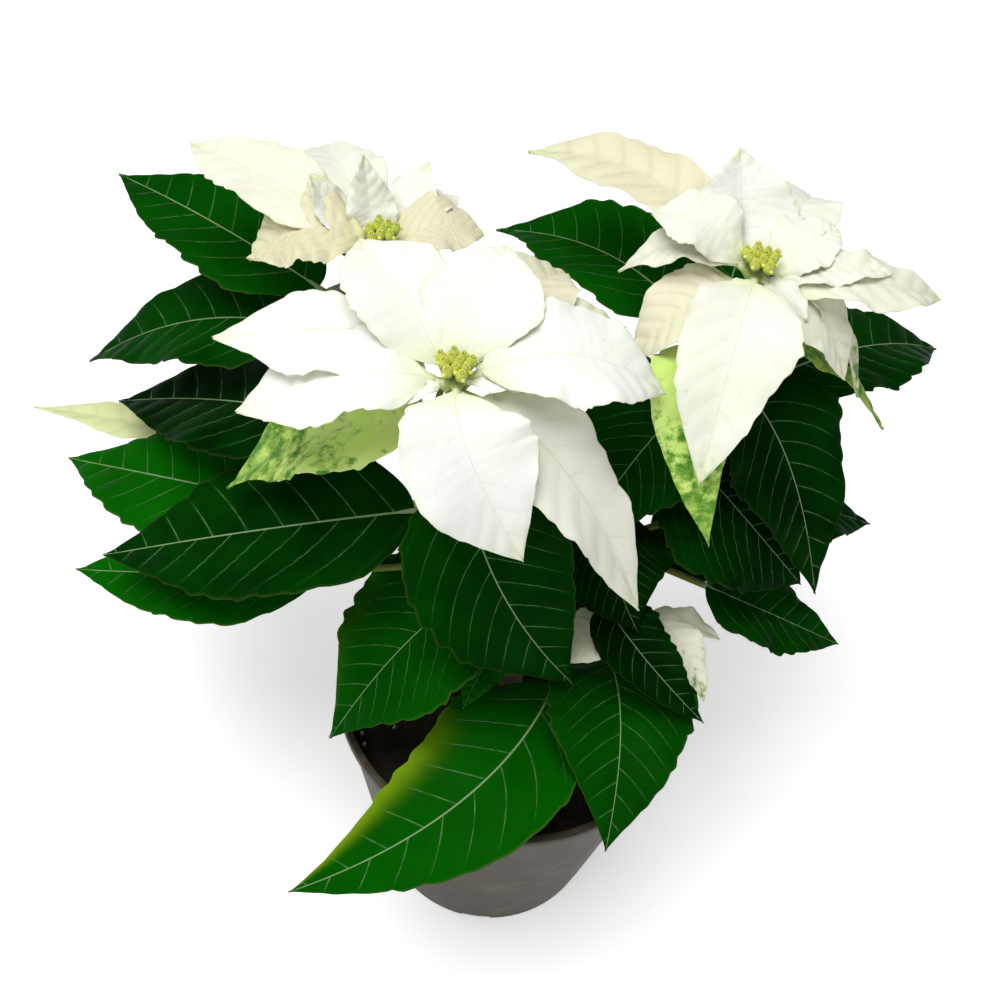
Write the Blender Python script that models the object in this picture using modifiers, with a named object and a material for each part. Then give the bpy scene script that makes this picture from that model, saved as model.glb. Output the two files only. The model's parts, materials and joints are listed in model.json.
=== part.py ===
"""A white poinsettia in a 13 cm grower's pot: pot, soil, woody stem, green leaves, bracts and cyathia.

The origin is the centre of the pot's base on the surface it stands on, +Z is up, and -Y faces the viewer.
Sizes and places in the tables are in millimetres, and MM turns them into metres.
"""

import math
from collections import namedtuple

import bmesh
import bpy
from mathutils import Vector

MM = 0.001
GAP = 0.35
WELD = 0.01
SHARP_ANGLE = 40

# Pot: a tapered cup with a thin lip, a foot ring and a raised floor with drain holes
POT_HEIGHT = 115
POT_RIM_RADIUS = 65
POT_BASE_RADIUS = 46
POT_WALL = 1.6
LIP_HEIGHT = 4
LIP_OUT = 1.2
FOOT_HEIGHT = 4
FOOT_WIDTH = 5
FLOOR_THICK = 2
POT_STEPS = 30
DRAIN_COUNT = 6
DRAIN_RADIUS = 4
DRAIN_SIDES = 8
DRAIN_RING = 30
NOTCH_COUNT = 6
NOTCH_WIDTH = 12
NOTCH_HEIGHT = 2.4

# Soil: a plug that fills the pot to a finger under the rim
SOIL_TOP = 99
SOIL_CROWN = 2.5
SHOULDER_REACH = 0.5
SHOULDER_RISE = 0.6

# Stem: a trunk planted in the soil that forks just above it
TRUNK_FOOT = (0, 0, 62)
TRUNK_FORK = (0, 2, 128)
TRUNK_RADIUS = 4.6
BRANCH_RADIUS = 3.2
SHOOT_RADIUS = 2.2
BRANCH_POINTS = 6
COLLAR = 0.8
BEND_END = 0.94
BRANCH_SWELL = 1.1
BRANCH_TAPER = 0.25
TRUNK_BEND = (0, 0, 107)
TRUNK_TOP = (0, 2, 131)
TRUNK_TOP_RADIUS = 4.2

# Blades: the outline's rise and fall, its toothed stretch, and the mesh along and across
Outline = namedtuple("Outline", "rise fall tooth")
LEAF_OUTLINE = Outline(0.62, 1.15, 0.05)
BRACT_OUTLINE = Outline(0.82, 1.0, 0.03)
BLADE_THICK = 0.8
STALK_RADIUS = 1.25
BRACT_STALK = 0.09
SMALL_LEAF = 20
SMALL_BRACT = 15
WIDE_BRACT = 37
LEAF_STATIONS = 8
BRACT_STATIONS = 6
SMALL_STATIONS = 4
WIDE_ACROSS = 5
SLIM_ACROSS = 3
TOOTHED_FROM = 0.15
TOOTHED_TO = 0.85
LEAST_HALF = 0.45
RIPPLES = 2.3
RIPPLE_SHIFT = 0.3
FOLD_FULL = 0.25
CROWN_END = 0.17
RIB_TAPER = 1.5
TURN_FULL = 0.05
TANGENT_STEP = 0.01

# Each branch bends from the fork over a knee, and ends upright under its bloom: knee, top, neck, radius
BRANCHES = {
    "centre": ((-6, 9, 165), (-31, 11, 245), 30, BRANCH_RADIUS),
    "right": ((24, 24, 155), (58, 65, 256), 26, BRANCH_RADIUS),
    "left": ((-26, 34, 152), (-65, 84, 232), 20, BRANCH_RADIUS),
    "side": ((20, 4, 122), (42, 16, 137), 8, SHOOT_RADIUS),
}

# A blade grows from its branch at a share of the branch's length and ends at its tip.
# arch lifts its middle, sweep bows it sideways, roll turns it about its midrib, fold lifts its
# margins into a V, wave ripples them, and stalk is the bare share of its length.
Blade = namedtuple("Blade", "name branch share tip width arch sweep roll fold wave stalk look")

LEAVES = (
    Blade("leaf_left_high", "left", 0.80, (-180, 150, 208), 48, 8, -3, 4, 8, 2.0, 0.22, "leaf"),
    Blade("leaf_left_back", "left", 0.72, (-184, 98, 154), 52, 22, 2, 10, 8, 2.2, 0.26, "leaf"),
    Blade("leaf_left_dark", "centre", 0.80, (-168, 82, 150), 56, 8, 4, 6, 6, 2.0, 0.32, "leaf"),
    Blade("leaf_left_bright", "centre", 0.47, (-187, 67, 129), 54, 10, -7, 6, 6, 2.4, 0.36, "leaf"),
    Blade("leaf_left_large", "centre", 0.64, (-151, 7, 150), 60, 8, -5, 6, 8, 2.2, 0.12, "leaf"),
    Blade("leaf_left_low", "centre", 0.42, (-168, 16, 126), 44, 5, -7, 8, 10, 2.0, 0.36, "leaf"),
    Blade("leaf_front_large", "centre", 0.86, (20, -20, 150), 55, 12, 15, -30, 8, 2.0, 0.10, "leaf"),
    Blade("leaf_front_left", "centre", 0.34, (-61, -38, 122), 62, 14, 0, -6, 8, 2.0, 0.10, "leaf"),
    Blade("leaf_front_long", "side", 0.30, (-68, -82, 90), 52, 20, -22, 4, 10, 2.4, 0.08, "leaf"),
    Blade("leaf_front_right", "side", 0.62, (38, -66, 121), 52, 16, -3, 0, 8, 2.0, 0.08, "leaf"),
    Blade("leaf_right_narrow", "right", 0.28, (66, -27, 147), 25, 8, 7, -10, 14, 1.4, 0.20, "leaf"),
    Blade("leaf_right_low", "right", 0.36, (122, 27, 128), 34, 8, 6, -8, 10, 2.2, 0.38, "leaf"),
    Blade("leaf_right_large", "right", 0.82, (104, 25, 160), 50, 12, -4, -14, 8, 2.2, 0.14, "leaf"),
    Blade("leaf_right_outer", "right", 0.38, (132, 72, 148), 42, 14, 0, 0, 10, 2.0, 0.34, "leaf"),
    Blade("leaf_right_back", "right", 0.66, (152, 134, 188), 48, 16, 0, -4, 10, 2.2, 0.26, "leaf"),
    Blade("leaf_top_centre", "right", 0.84, (-28, 136, 216), 50, 10, 8, 8, 16, 2.0, 0.16, "leaf"),
    Blade("leaf_inner_front", "right", 0.46, (40, -5, 164), 49, 7, 9, 0, 8, 1.8, 0.08, "leaf"),
    Blade("leaf_inner_right", "right", 0.62, (98, 26, 163), 64, 9, 7, -16, 8, 2.0, 0.08, "leaf"),
    Blade("leaf_centre_right", "right", 0.74, (15, 14, 185), 49, 8, 0, 0, 8, 1.8, 0.14, "leaf"),
    Blade("leaf_young", "centre", 0.14, (-16, -30, 140), 18, 5, 0, 0, 18, 1.2, 0.14, "leaf"),
    Blade("leaf_back_right", "right", 0.60, (110, 150, 148), 50, 22, 0, 0, 10, 2.4, 0.30, "leaf"),
    Blade("leaf_back_middle", "right", 0.42, (58, 162, 130), 50, 24, 0, 0, 10, 2.4, 0.32, "leaf"),
    Blade("leaf_back_centre", "left", 0.55, (-26, 168, 134), 50, 24, 0, 0, 10, 2.4, 0.30, "leaf"),
    Blade("leaf_back_left", "left", 0.64, (-108, 166, 142), 50, 22, 0, 0, 10, 2.4, 0.30, "leaf"),
    Blade("leaf_back_high", "left", 0.82, (-92, 186, 184), 46, 16, 0, 0, 10, 2.4, 0.24, "leaf"),
    Blade("leaf_back_top", "right", 0.74, (72, 172, 206), 48, 14, 0, 0, 10, 2.4, 0.22, "leaf"),
    Blade("leaf_low_back", "right", 0.16, (16, 116, 122), 44, 18, 0, 0, 10, 2.0, 0.34, "leaf"),
    Blade("leaf_low_left", "left", 0.22, (-118, 74, 120), 44, 14, 0, 0, 10, 2.0, 0.36, "leaf"),
    Blade("leaf_low_right", "right", 0.20, (106, 78, 121), 44, 18, 0, 0, 10, 2.0, 0.34, "leaf"),
    Blade("cream_leaf_left", "left", 0.36, (-213, 98, 122), 22, 6, 2, 0, 12, 1.6, 0.46, "cream"),
    Blade("mottled_bract_centre", "centre", 0.92, (-105, 15, 187), 38, 16, 0, 8, 10, 2.4, 0.14, "mottled"),
    Blade("mottled_bract_right", "right", 0.90, (56, 4, 204), 32, 20, 12, 0, 10, 2.0, 0.14, "mottled"),
    Blade("green_bract_right", "right", 0.93, (118, 66, 206), 13, 12, 0, 0, 12, 1.2, 0.20, "mottled"),
)

# A bract grows from its bloom's receptacle. Its tip is given from the bloom's centre.
Bract = namedtuple("Bract", "tip width arch sweep roll fold wave")
Bloom = namedtuple("Bloom", "branch buds bracts")

BLOOMS = {
    "centre": Bloom(
        "centre",
        7,
        (
            Bract((27, -38, -36), 42, 14, 9, 0, 8, 1.6),
            Bract((64, 15, -12), 40, 12, -2, -8, 6, 1.8),
            Bract((-64, -9, -20), 38, 12, -2, 4, 6, 1.8),
            Bract((10, 46, 12), 36, 5, 0, 0, 8, 1.4),
            Bract((-36, 42, 10), 38, 6, 0, 0, 8, 1.4),
            Bract((-76, 13, -12), 34, 8, 2, 4, 8, 1.6),
            Bract((67, -24, -72), 36, 20, 0, -6, 8, 2.0),
            Bract((50, 40, -10), 26, 12, 0, -6, 8, 1.8),
            Bract((30, 62, -10), 32, 14, 0, -6, 8, 2.2),
            Bract((6, -24, -8), 13, 2, 0, 0, 16, 0.8),
            Bract((-22, -12, -6), 12, 2, 0, 0, 14, 0.8),
            Bract((22, 2, -5), 12, 2, 0, 0, 14, 0.8),
        ),
    ),
    "right": Bloom(
        "right",
        7,
        (
            Bract((-10, -56, -43), 36, 18, 1, 0, 12, 1.6),
            Bract((-42, 8, -16), 20, 12, 0, 6, 10, 1.6),
            Bract((-35, 14, 4), 28, 8, 0, 6, 8, 1.6),
            Bract((-77, 56, -8), 28, 12, 4, 8, 10, 1.6),
            Bract((-10, 32, 21), 37, -4, 0, 0, 10, 1.4),
            Bract((26, 18, 4), 24, 4, 0, -4, 10, 1.4),
            Bract((42, 2, 2), 16, 4, 0, -4, 12, 1.2),
            Bract((62, 8, -10), 22, 10, 7, -8, 8, 1.8),
            Bract((34, -16, -28), 28, 12, 0, -8, 10, 1.6),
            Bract((44, -6, -44), 16, 18, 0, -10, 14, 1.6),
            Bract((-36, -20, -30), 26, 12, 0, 4, 8, 1.4),
            Bract((-8, -22, -6), 12, 2, 0, 0, 16, 0.8),
            Bract((16, -16, -6), 11, 2, 0, 0, 14, 0.8),
            Bract((24, 52, -10), 28, 14, 0, 0, 8, 1.8),
        ),
    ),
    "left": Bloom(
        "left",
        5,
        (
            Bract((-73, 33, 4), 30, 8, -5, 8, 8, 1.8),
            Bract((-44, -6, -12), 38, 12, 0, 8, 8, 2.2),
            Bract((-9, 16, 22), 18, -6, 0, 0, 12, 1.2),
            Bract((-26, 8, 16), 20, -4, 0, 0, 12, 1.2),
            Bract((34, 14, -4), 30, 8, 0, -4, 8, 1.6),
            Bract((12, 30, 12), 22, -2, 0, 0, 10, 1.2),
            Bract((-34, 54, -6), 28, 12, 0, 0, 8, 1.8),
            Bract((20, 42, -12), 24, 12, 0, 0, 8, 1.8),
            Bract((6, -34, -14), 26, 10, 0, 0, 8, 1.4),
        ),
    ),
    "side": Bloom(
        "side",
        0,
        (
            Bract((-37, -27, 2), 22, 4, -5, 0, 8, 1.4),
            Bract((25, -32, -8), 16, 12, 0, 0, 12, 1.6),
            Bract((30, -8, -4), 11, 3, 0, 0, 10, 1.4),
        ),
    ),
}
RECEPTACLE_RADIUS = 4.6
RECEPTACLE_HEIGHT = 14
RECEPTACLE_PEAK = 0.8
SMALL_DROP = 3.4
BUD_RADIUS = 1.8
BUD_STRETCH = 1.35
BUD_SPREAD = 4.6
BUD_BED = 1.6
BUD_LIFT = 1.2
BUD_DOME = 0.1
BUD_LEAN = 0.06
BUD_START = 0.4
BUD_SIDES = 6
BUD_RINGS = 4
BED_FOOT = 1.05
BED_TOP = 0.9
RECEPTACLE_SIDES = 10
RECEPTACLE_FOOT = 0.7
ROOT_REACH = 0.45
GOLDEN_TURN = math.pi * (3 - math.sqrt(5))

COLOURS = {
    "leaf": ((0.020, 0.105, 0.018), 0.42),
    "cream": ((0.78, 0.74, 0.46), 0.55),
    "mottled": ((0.42, 0.52, 0.16), 0.50),
    "bract": ((0.90, 0.89, 0.76), 0.55),
    "cyathia": ((0.48, 0.55, 0.06), 0.45),
    "stem": ((0.14, 0.20, 0.07), 0.65),
    "pot": ((0.085, 0.072, 0.066), 0.38),
    "soil": ((0.022, 0.016, 0.012), 0.95),
}


def clear_scene():
    for obj in list(bpy.data.objects):
        bpy.data.objects.remove(obj, do_unlink=True)


def new_collection(name):
    made = bpy.data.collections.new(name)
    bpy.context.scene.collection.children.link(made)
    return made


def material_for(name, look):
    """A Principled material of the node's own, in the colour and roughness of its look."""
    colour, roughness = COLOURS[look]
    material = bpy.data.materials.new(name)
    material.use_nodes = True
    shader = material.node_tree.nodes["Principled BSDF"]
    shader.inputs["Base Color"].default_value = (*colour, 1)
    shader.inputs["Roughness"].default_value = roughness
    shader.inputs["Metallic"].default_value = 0
    return material


def add_object(name, mesh, collection, place=(0, 0, 0)):
    obj = bpy.data.objects.new(name, mesh)
    obj.location = Vector(place) * MM
    collection.objects.link(obj)
    return obj


def applied(obj):
    """Turns the object's modifiers into its own mesh."""
    graph = bpy.context.evaluated_depsgraph_get()
    mesh = bpy.data.meshes.new_from_object(obj.evaluated_get(graph))
    obj.modifiers.clear()
    obj.data = mesh
    return obj


def keep_skin(obj):
    """Keeps the one closed skin that holds the shape, without the small hollows that a union seals in."""
    shape = bmesh.new()
    shape.from_mesh(obj.data)
    shape.verts.ensure_lookup_table()
    left = set(shape.verts)
    skins = []
    while left:
        skin = {left.pop()}
        edge = list(skin)
        while edge:
            near = {link.other_vert(vert) for vert in edge for link in vert.link_edges} - skin
            skin |= near
            edge = list(near)
        left -= skin
        skins.append(skin)
    largest = max(skins, key=len)
    spare = [vert for skin in skins if skin is not largest for vert in skin]
    bmesh.ops.delete(shape, geom=spare, context="VERTS")
    shape.to_mesh(obj.data)
    shape.free()


def boolean(obj, collection, operation, solver="EXACT"):
    """Cuts the collection's objects from obj, or joins them to it, and removes them."""
    modifier = obj.modifiers.new(operation.lower(), "BOOLEAN")
    modifier.operation = operation
    modifier.operand_type = "COLLECTION"
    modifier.collection = collection
    modifier.solver = solver
    applied(obj)
    for piece in list(collection.objects):
        bpy.data.objects.remove(piece, do_unlink=True)
    bpy.data.collections.remove(collection)
    keep_skin(obj)
    return obj


def turned(name, profile, collection):
    """A turned solid from a profile in millimetres that runs down its outer side from the axis."""
    mesh = bpy.data.meshes.new(name)
    points = [(radius * MM, 0, height * MM) for radius, height in profile]
    mesh.from_pydata(points, [(i, i + 1) for i in range(len(points) - 1)], [])
    obj = add_object(name, mesh, collection)
    screw = obj.modifiers.new("turn", "SCREW")
    screw.steps = POT_STEPS
    screw.render_steps = POT_STEPS
    screw.use_merge_vertices = True
    screw.merge_threshold = WELD * MM
    return applied(obj)


def wall_radius(height):
    """Outer radius of the pot's tapered wall at a height above its base."""
    return POT_BASE_RADIUS + (POT_RIM_RADIUS - LIP_OUT - POT_BASE_RADIUS) * height / POT_HEIGHT


def make_pot(collection):
    lip_foot = POT_HEIGHT - LIP_HEIGHT
    floor_top = FOOT_HEIGHT + FLOOR_THICK
    profile = (
        (wall_radius(POT_HEIGHT) - POT_WALL, POT_HEIGHT),
        (POT_RIM_RADIUS, POT_HEIGHT),
        (POT_RIM_RADIUS, lip_foot),
        (wall_radius(lip_foot), lip_foot),
        (wall_radius(POT_HEIGHT / 2), POT_HEIGHT / 2),
        (POT_BASE_RADIUS, 0),
        (POT_BASE_RADIUS - FOOT_WIDTH, 0),
        (POT_BASE_RADIUS - FOOT_WIDTH, FOOT_HEIGHT),
        (0, FOOT_HEIGHT),
    )
    inside = (
        (0, floor_top),
        (wall_radius(floor_top) - POT_WALL, floor_top),
        (wall_radius(POT_HEIGHT) - POT_WALL, POT_HEIGHT),
    )
    pot = turned("pot", profile + inside, collection)
    cutters = new_collection("cutters")
    for index in range(DRAIN_COUNT):
        turn = 2 * math.pi * index / DRAIN_COUNT
        add_cylinder(cutters, DRAIN_RADIUS, 4 * floor_top, DRAIN_RING, turn)
    for index in range(NOTCH_COUNT):
        turn = 2 * math.pi * (index + 0.5) / NOTCH_COUNT
        add_notch(cutters, turn)
    return boolean(pot, cutters, "DIFFERENCE")


def add_cylinder(collection, radius, height, ring, turn):
    mesh = bpy.data.meshes.new("drain")
    shape = bmesh.new()
    bmesh.ops.create_cone(
        shape,
        cap_ends=True,
        segments=DRAIN_SIDES,
        radius1=radius * MM,
        radius2=radius * MM,
        depth=height * MM,
    )
    shape.to_mesh(mesh)
    shape.free()
    add_object("drain", mesh, collection, (ring * math.cos(turn), ring * math.sin(turn), 0))


def add_notch(collection, turn):
    mesh = bpy.data.meshes.new("notch")
    shape = bmesh.new()
    bmesh.ops.create_cube(shape, size=1)
    size = Vector((4 * FOOT_WIDTH, NOTCH_WIDTH, 2 * NOTCH_HEIGHT)) * MM
    bmesh.ops.scale(shape, vec=size, verts=shape.verts)
    shape.to_mesh(mesh)
    shape.free()
    reach = POT_BASE_RADIUS - FOOT_WIDTH / 2
    notch = add_object("notch", mesh, collection, (reach * math.cos(turn), reach * math.sin(turn), 0))
    notch.rotation_euler.z = turn


def make_soil(collection):
    """The soil clears the pot's wall and floor and has a plain hole for the trunk."""
    foot = FOOT_HEIGHT + FLOOR_THICK + GAP
    edge = wall_radius(SOIL_TOP) - POT_WALL - 2 * GAP
    hole = TRUNK_RADIUS + GAP
    profile = (
        (hole, SOIL_TOP + SOIL_CROWN),
        (edge * SHOULDER_REACH, SOIL_TOP + SOIL_CROWN * SHOULDER_RISE),
        (edge, SOIL_TOP),
        (wall_radius(foot) - POT_WALL - 2 * GAP, foot),
        (0, foot),
        (0, TRUNK_FOOT[2] - GAP),
        (hole, TRUNK_FOOT[2] - GAP),
        (hole, SOIL_TOP + SOIL_CROWN),
    )
    return turned("soil", profile, collection)


def branch_line(branch):
    """The branch's centre line: a bend from the fork over the knee, then a short upright collar."""
    knee, top, neck, _ = BRANCHES[branch]
    top = Vector(top)
    below = top - Vector((0, 0, neck))
    line = []
    for index in range(BRANCH_POINTS):
        share = BEND_END * index / (BRANCH_POINTS - 1)
        rest = 1 - share
        lower = Vector(TRUNK_FORK) * rest**3 + Vector(knee) * 3 * rest * rest * share
        line.append(lower + below * 3 * rest * share * share + top * share**3)
    return line + [top - Vector((0, 0, COLLAR)), top]


def branch_place(branch, share):
    """The point of the branch at a share of its bend, and the direction it runs in there."""
    line = branch_line(branch)
    place = share * (BRANCH_POINTS - 1)
    start = min(int(place), BRANCH_POINTS - 2)
    run = line[start + 1] - line[start]
    return line[start] + run * (place - start), run.normalized()


def branch_radius(branch, share):
    """The branch's radius, which tapers towards its bloom."""
    return BRANCHES[branch][3] * (BRANCH_SWELL - BRANCH_TAPER * share)


def add_tube(name, points, radii, collection):
    """A round tube through the points as a closed mesh with welded caps."""
    curve = bpy.data.curves.new(name, "CURVE")
    curve.dimensions = "3D"
    curve.bevel_depth = MM
    curve.bevel_resolution = 2
    curve.use_fill_caps = True
    spline = curve.splines.new("POLY")
    spline.points.add(len(points) - 1)
    for target, point, radius in zip(spline.points, points, radii):
        target.co = (*(Vector(point) * MM), 1)
        target.radius = radius
    rail = add_object(name, curve, collection)
    graph = bpy.context.evaluated_depsgraph_get()
    mesh = bpy.data.meshes.new_from_object(rail.evaluated_get(graph))
    bpy.data.objects.remove(rail, do_unlink=True)
    shape = bmesh.new()
    shape.from_mesh(mesh)
    bmesh.ops.remove_doubles(shape, verts=shape.verts, dist=WELD * MM)
    bmesh.ops.recalc_face_normals(shape, faces=shape.faces)
    shape.to_mesh(mesh)
    shape.free()
    return add_object(name, mesh, collection)


def make_stem(collection):
    """One woody stem: the trunk and its branches, which start inside the trunk's top."""
    trunk = (TRUNK_FOOT, TRUNK_BEND, TRUNK_TOP)
    stem = add_tube("stem", trunk, (TRUNK_RADIUS, TRUNK_RADIUS, TRUNK_TOP_RADIUS), collection)
    branches = new_collection("branches")
    for branch in BRANCHES:
        line = branch_line(branch)
        radii = [branch_radius(branch, min(1, i / (BRANCH_POINTS - 1))) for i in range(len(line))]
        add_tube("branch_" + branch, line, radii, branches)
    return boolean(stem, branches, "UNION")


def half_width(share, form):
    """Half width of a blade at a share of its length, as a part of its greatest."""
    widest = form.rise / (form.rise + form.fall)
    peak = widest**form.rise * (1 - widest) ** form.fall
    return share**form.rise * (1 - share) ** form.fall / peak


def blade_mesh(root, heading, blade, stations, across, form):
    """A loft from a round stalk into a flat blade with a V fold, waved margins and small teeth.

    Each station is a closed ring: the upper face from left to right, then the lower face back.
    Both faces are split into triangles alike. Points are measured from the root, in millimetres.
    """
    chord = Vector(blade.tip) - root
    flat = Vector((chord.y, -chord.x, 0)).normalized()
    shares = [blade.stalk * i / 2 for i in range(2)]
    shares += [blade.stalk + (1 - blade.stalk) * i / stations for i in range(stations + 1)]
    places = [-1 + 2 * i / (across - 1) for i in range(across)]

    def midrib(share):
        bow = 4 * share * (1 - share)
        return chord * share + Vector((0, 0, blade.arch * bow)) + flat * blade.sweep * bow

    points = []
    for index, share in enumerate(shares):
        here = midrib(share)
        run = (midrib(min(share + TANGENT_STEP, 1)) - midrib(max(share - TANGENT_STEP, 0))).normalized()
        if index == 0 and heading:
            run = heading
        side = (flat - run * flat.dot(run)).normalized()
        lift = side.cross(run)
        turn = math.radians(blade.roll) * min(1, share / max(blade.stalk, TURN_FULL))
        side, lift = (
            side * math.cos(turn) + lift * math.sin(turn),
            lift * math.cos(turn) - side * math.sin(turn),
        )
        along = min(1, max(0, (share - blade.stalk) / (1 - blade.stalk)))
        bite = 1 + form.tooth * (1 if index % 2 else -1) * (TOOTHED_FROM < along < TOOTHED_TO)
        width = half_width(along, form)
        half = max(STALK_RADIUS * (1 - along), blade.width / 2 * width * bite, LEAST_HALF)
        rib = STALK_RADIUS * (1 - along) ** RIB_TAPER
        steep = math.tan(math.radians(blade.fold)) * min(1, along / FOLD_FULL)
        upper = []
        lower = []
        for place in places:
            out = abs(place)
            shift = RIPPLE_SHIFT if place > 0 else 0
            ripple = math.sin(2 * math.pi * (RIPPLES * along + shift) + len(blade.name))
            rise_here = half * out * steep + blade.wave * ripple * out * out * width
            round_here = rib * math.sqrt(1 - out * out)
            crown = round_here * (1 - min(1, along / CROWN_END))
            middle = here + side * half * place + lift * rise_here
            upper.append(middle + lift * (BLADE_THICK / 2 + crown))
            lower.append(middle - lift * (BLADE_THICK / 2 + round_here))
        points += upper + lower[::-1]
    ring = 2 * across
    faces = []
    for station in range(len(shares) - 1):
        start = station * ring
        for i in range(ring):
            j = (i + 1) % ring
            low, high = (start + i, start + j), (start + ring + i, start + ring + j)
            if i < across:
                faces += [(low[0], low[1], high[1]), (low[0], high[1], high[0])]
            else:
                faces += [(low[0], low[1], high[0]), (low[1], high[1], high[0])]
    last = (len(shares) - 1) * ring
    for i in range(across - 1):
        j = ring - 1 - i
        faces += [(i, j, j - 1), (i, j - 1, i + 1)]
        faces += [(last + i, last + i + 1, last + j - 1), (last + i, last + j - 1, last + j)]
    mesh = bpy.data.meshes.new(blade.name)
    mesh.from_pydata([point * MM for point in points], [], faces)
    repair = bmesh.new()
    repair.from_mesh(mesh)
    bmesh.ops.recalc_face_normals(repair, faces=repair.faces)
    repair.to_mesh(mesh)
    repair.free()
    return mesh


def make_leaf(blade, collection):
    """A leaf whose stalk ends just clear of the branch's skin, square to it."""
    start, run = branch_place(blade.branch, blade.share)
    away = Vector(blade.tip) - start
    away = (away - run * away.dot(run)).normalized()
    root = start + away * (branch_radius(blade.branch, blade.share) + GAP)
    stations = LEAF_STATIONS if blade.width > SMALL_LEAF else SMALL_STATIONS
    mesh = blade_mesh(root, away, blade, stations, WIDE_ACROSS, LEAF_OUTLINE)
    return add_object(blade.name, mesh, collection, root)


def make_bracts(name, bloom, centre, collection):
    """All bracts of one bloom, their roots sunk in the receptacle that carries them."""
    mesh = bpy.data.meshes.new(name)
    shape = bmesh.new()
    bmesh.ops.create_cone(
        shape,
        cap_ends=True,
        segments=RECEPTACLE_SIDES,
        radius1=RECEPTACLE_RADIUS * RECEPTACLE_FOOT * MM,
        radius2=RECEPTACLE_RADIUS * MM,
        depth=(RECEPTACLE_HEIGHT + RECEPTACLE_PEAK) * MM,
    )
    shape.to_mesh(mesh)
    shape.free()
    middle = centre + Vector((0, 0, (RECEPTACLE_PEAK - RECEPTACLE_HEIGHT) / 2))
    core = add_object(name, mesh, collection, middle)
    pieces = new_collection(name + "_pieces")
    bract_drop = (RECEPTACLE_HEIGHT - 2 * SMALL_DROP + 1) / len(bloom.bracts)
    for index, bract in enumerate(bloom.bracts):
        tip = Vector(bract.tip)
        heading = Vector((tip.x, tip.y, 0)).normalized()
        small = bract.width < SMALL_BRACT
        level = -SMALL_DROP if small else -SMALL_DROP - bract_drop * index
        root = heading * (RECEPTACLE_RADIUS * ROOT_REACH) + Vector((0, 0, level))
        blade = Blade(
            f"{name}_{index}", "", 0, bract.tip, bract.width, bract.arch, bract.sweep,
            bract.roll, bract.fold, bract.wave, BRACT_STALK, "bract",
        )
        stations = SMALL_STATIONS if small else BRACT_STATIONS
        across = WIDE_ACROSS if bract.width > WIDE_BRACT else SLIM_ACROSS
        piece = blade_mesh(root, None, blade, stations, across, BRACT_OUTLINE)
        add_object(blade.name, piece, pieces, centre + root)
    return boolean(core, pieces, "UNION", "MANIFOLD")


def make_cyathia(name, bloom, centre, collection):
    """A bed of green-yellow buds on top of the receptacle, set out in a sunflower spiral."""
    mesh = bpy.data.meshes.new(name)
    shape = bmesh.new()
    bmesh.ops.create_cone(
        shape,
        cap_ends=True,
        segments=RECEPTACLE_SIDES,
        radius1=RECEPTACLE_RADIUS * BED_FOOT * MM,
        radius2=RECEPTACLE_RADIUS * BED_TOP * MM,
        depth=BUD_BED * MM,
    )
    shape.to_mesh(mesh)
    shape.free()
    foot = RECEPTACLE_PEAK + GAP
    bed = add_object(name, mesh, collection, centre + Vector((0, 0, foot + BUD_BED / 2)))
    buds = new_collection(name + "_buds")
    for index in range(bloom.buds):
        turn = index * GOLDEN_TURN
        reach = BUD_SPREAD * math.sqrt((index + BUD_START) / bloom.buds)
        level = foot + BUD_BED + BUD_LIFT - BUD_DOME * reach
        place = Vector((reach * math.cos(turn), reach * math.sin(turn), level))
        bud = bpy.data.meshes.new("bud")
        shape = bmesh.new()
        radius = BUD_RADIUS * MM
        bmesh.ops.create_uvsphere(shape, u_segments=BUD_SIDES, v_segments=BUD_RINGS, radius=radius)
        bmesh.ops.scale(shape, vec=(1, 1, BUD_STRETCH), verts=shape.verts)
        shape.to_mesh(bud)
        shape.free()
        obj = add_object("bud", bud, buds, centre + place)
        obj.rotation_euler = (0, BUD_LEAN * reach, turn)
    return boolean(bed, buds, "UNION", "MANIFOLD")


def finish(obj, look):
    obj.data.materials.clear()
    obj.data.materials.append(material_for(obj.name, look))
    obj.data.shade_smooth()
    obj.data.set_sharp_from_angle(angle=math.radians(SHARP_ANGLE))


def main():
    clear_scene()
    plant = new_collection("poinsettia")
    finish(make_pot(plant), "pot")
    finish(make_soil(plant), "soil")
    finish(make_stem(plant), "stem")
    for blade in LEAVES:
        finish(make_leaf(blade, plant), blade.look)
    for name, bloom in BLOOMS.items():
        centre = Vector(BRANCHES[bloom.branch][1]) + Vector((0, 0, RECEPTACLE_HEIGHT + GAP))
        finish(make_bracts(name + "_bracts", bloom, centre, plant), "bract")
        if bloom.buds:
            finish(make_cyathia(name + "_cyathia", bloom, centre, plant), "cyathia")


main()
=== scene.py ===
"""The looks of a white poinsettia in a grower's pot: leaves, bracts, buds, stem, soil and pot in fine form.

Sizes and places in the tables are in millimetres, in the plant's own frame, and MM turns them into metres.
"""

import json
import math
from collections import namedtuple

import bmesh
import bpy
import numpy as np
from mathutils import Matrix, Vector

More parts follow.
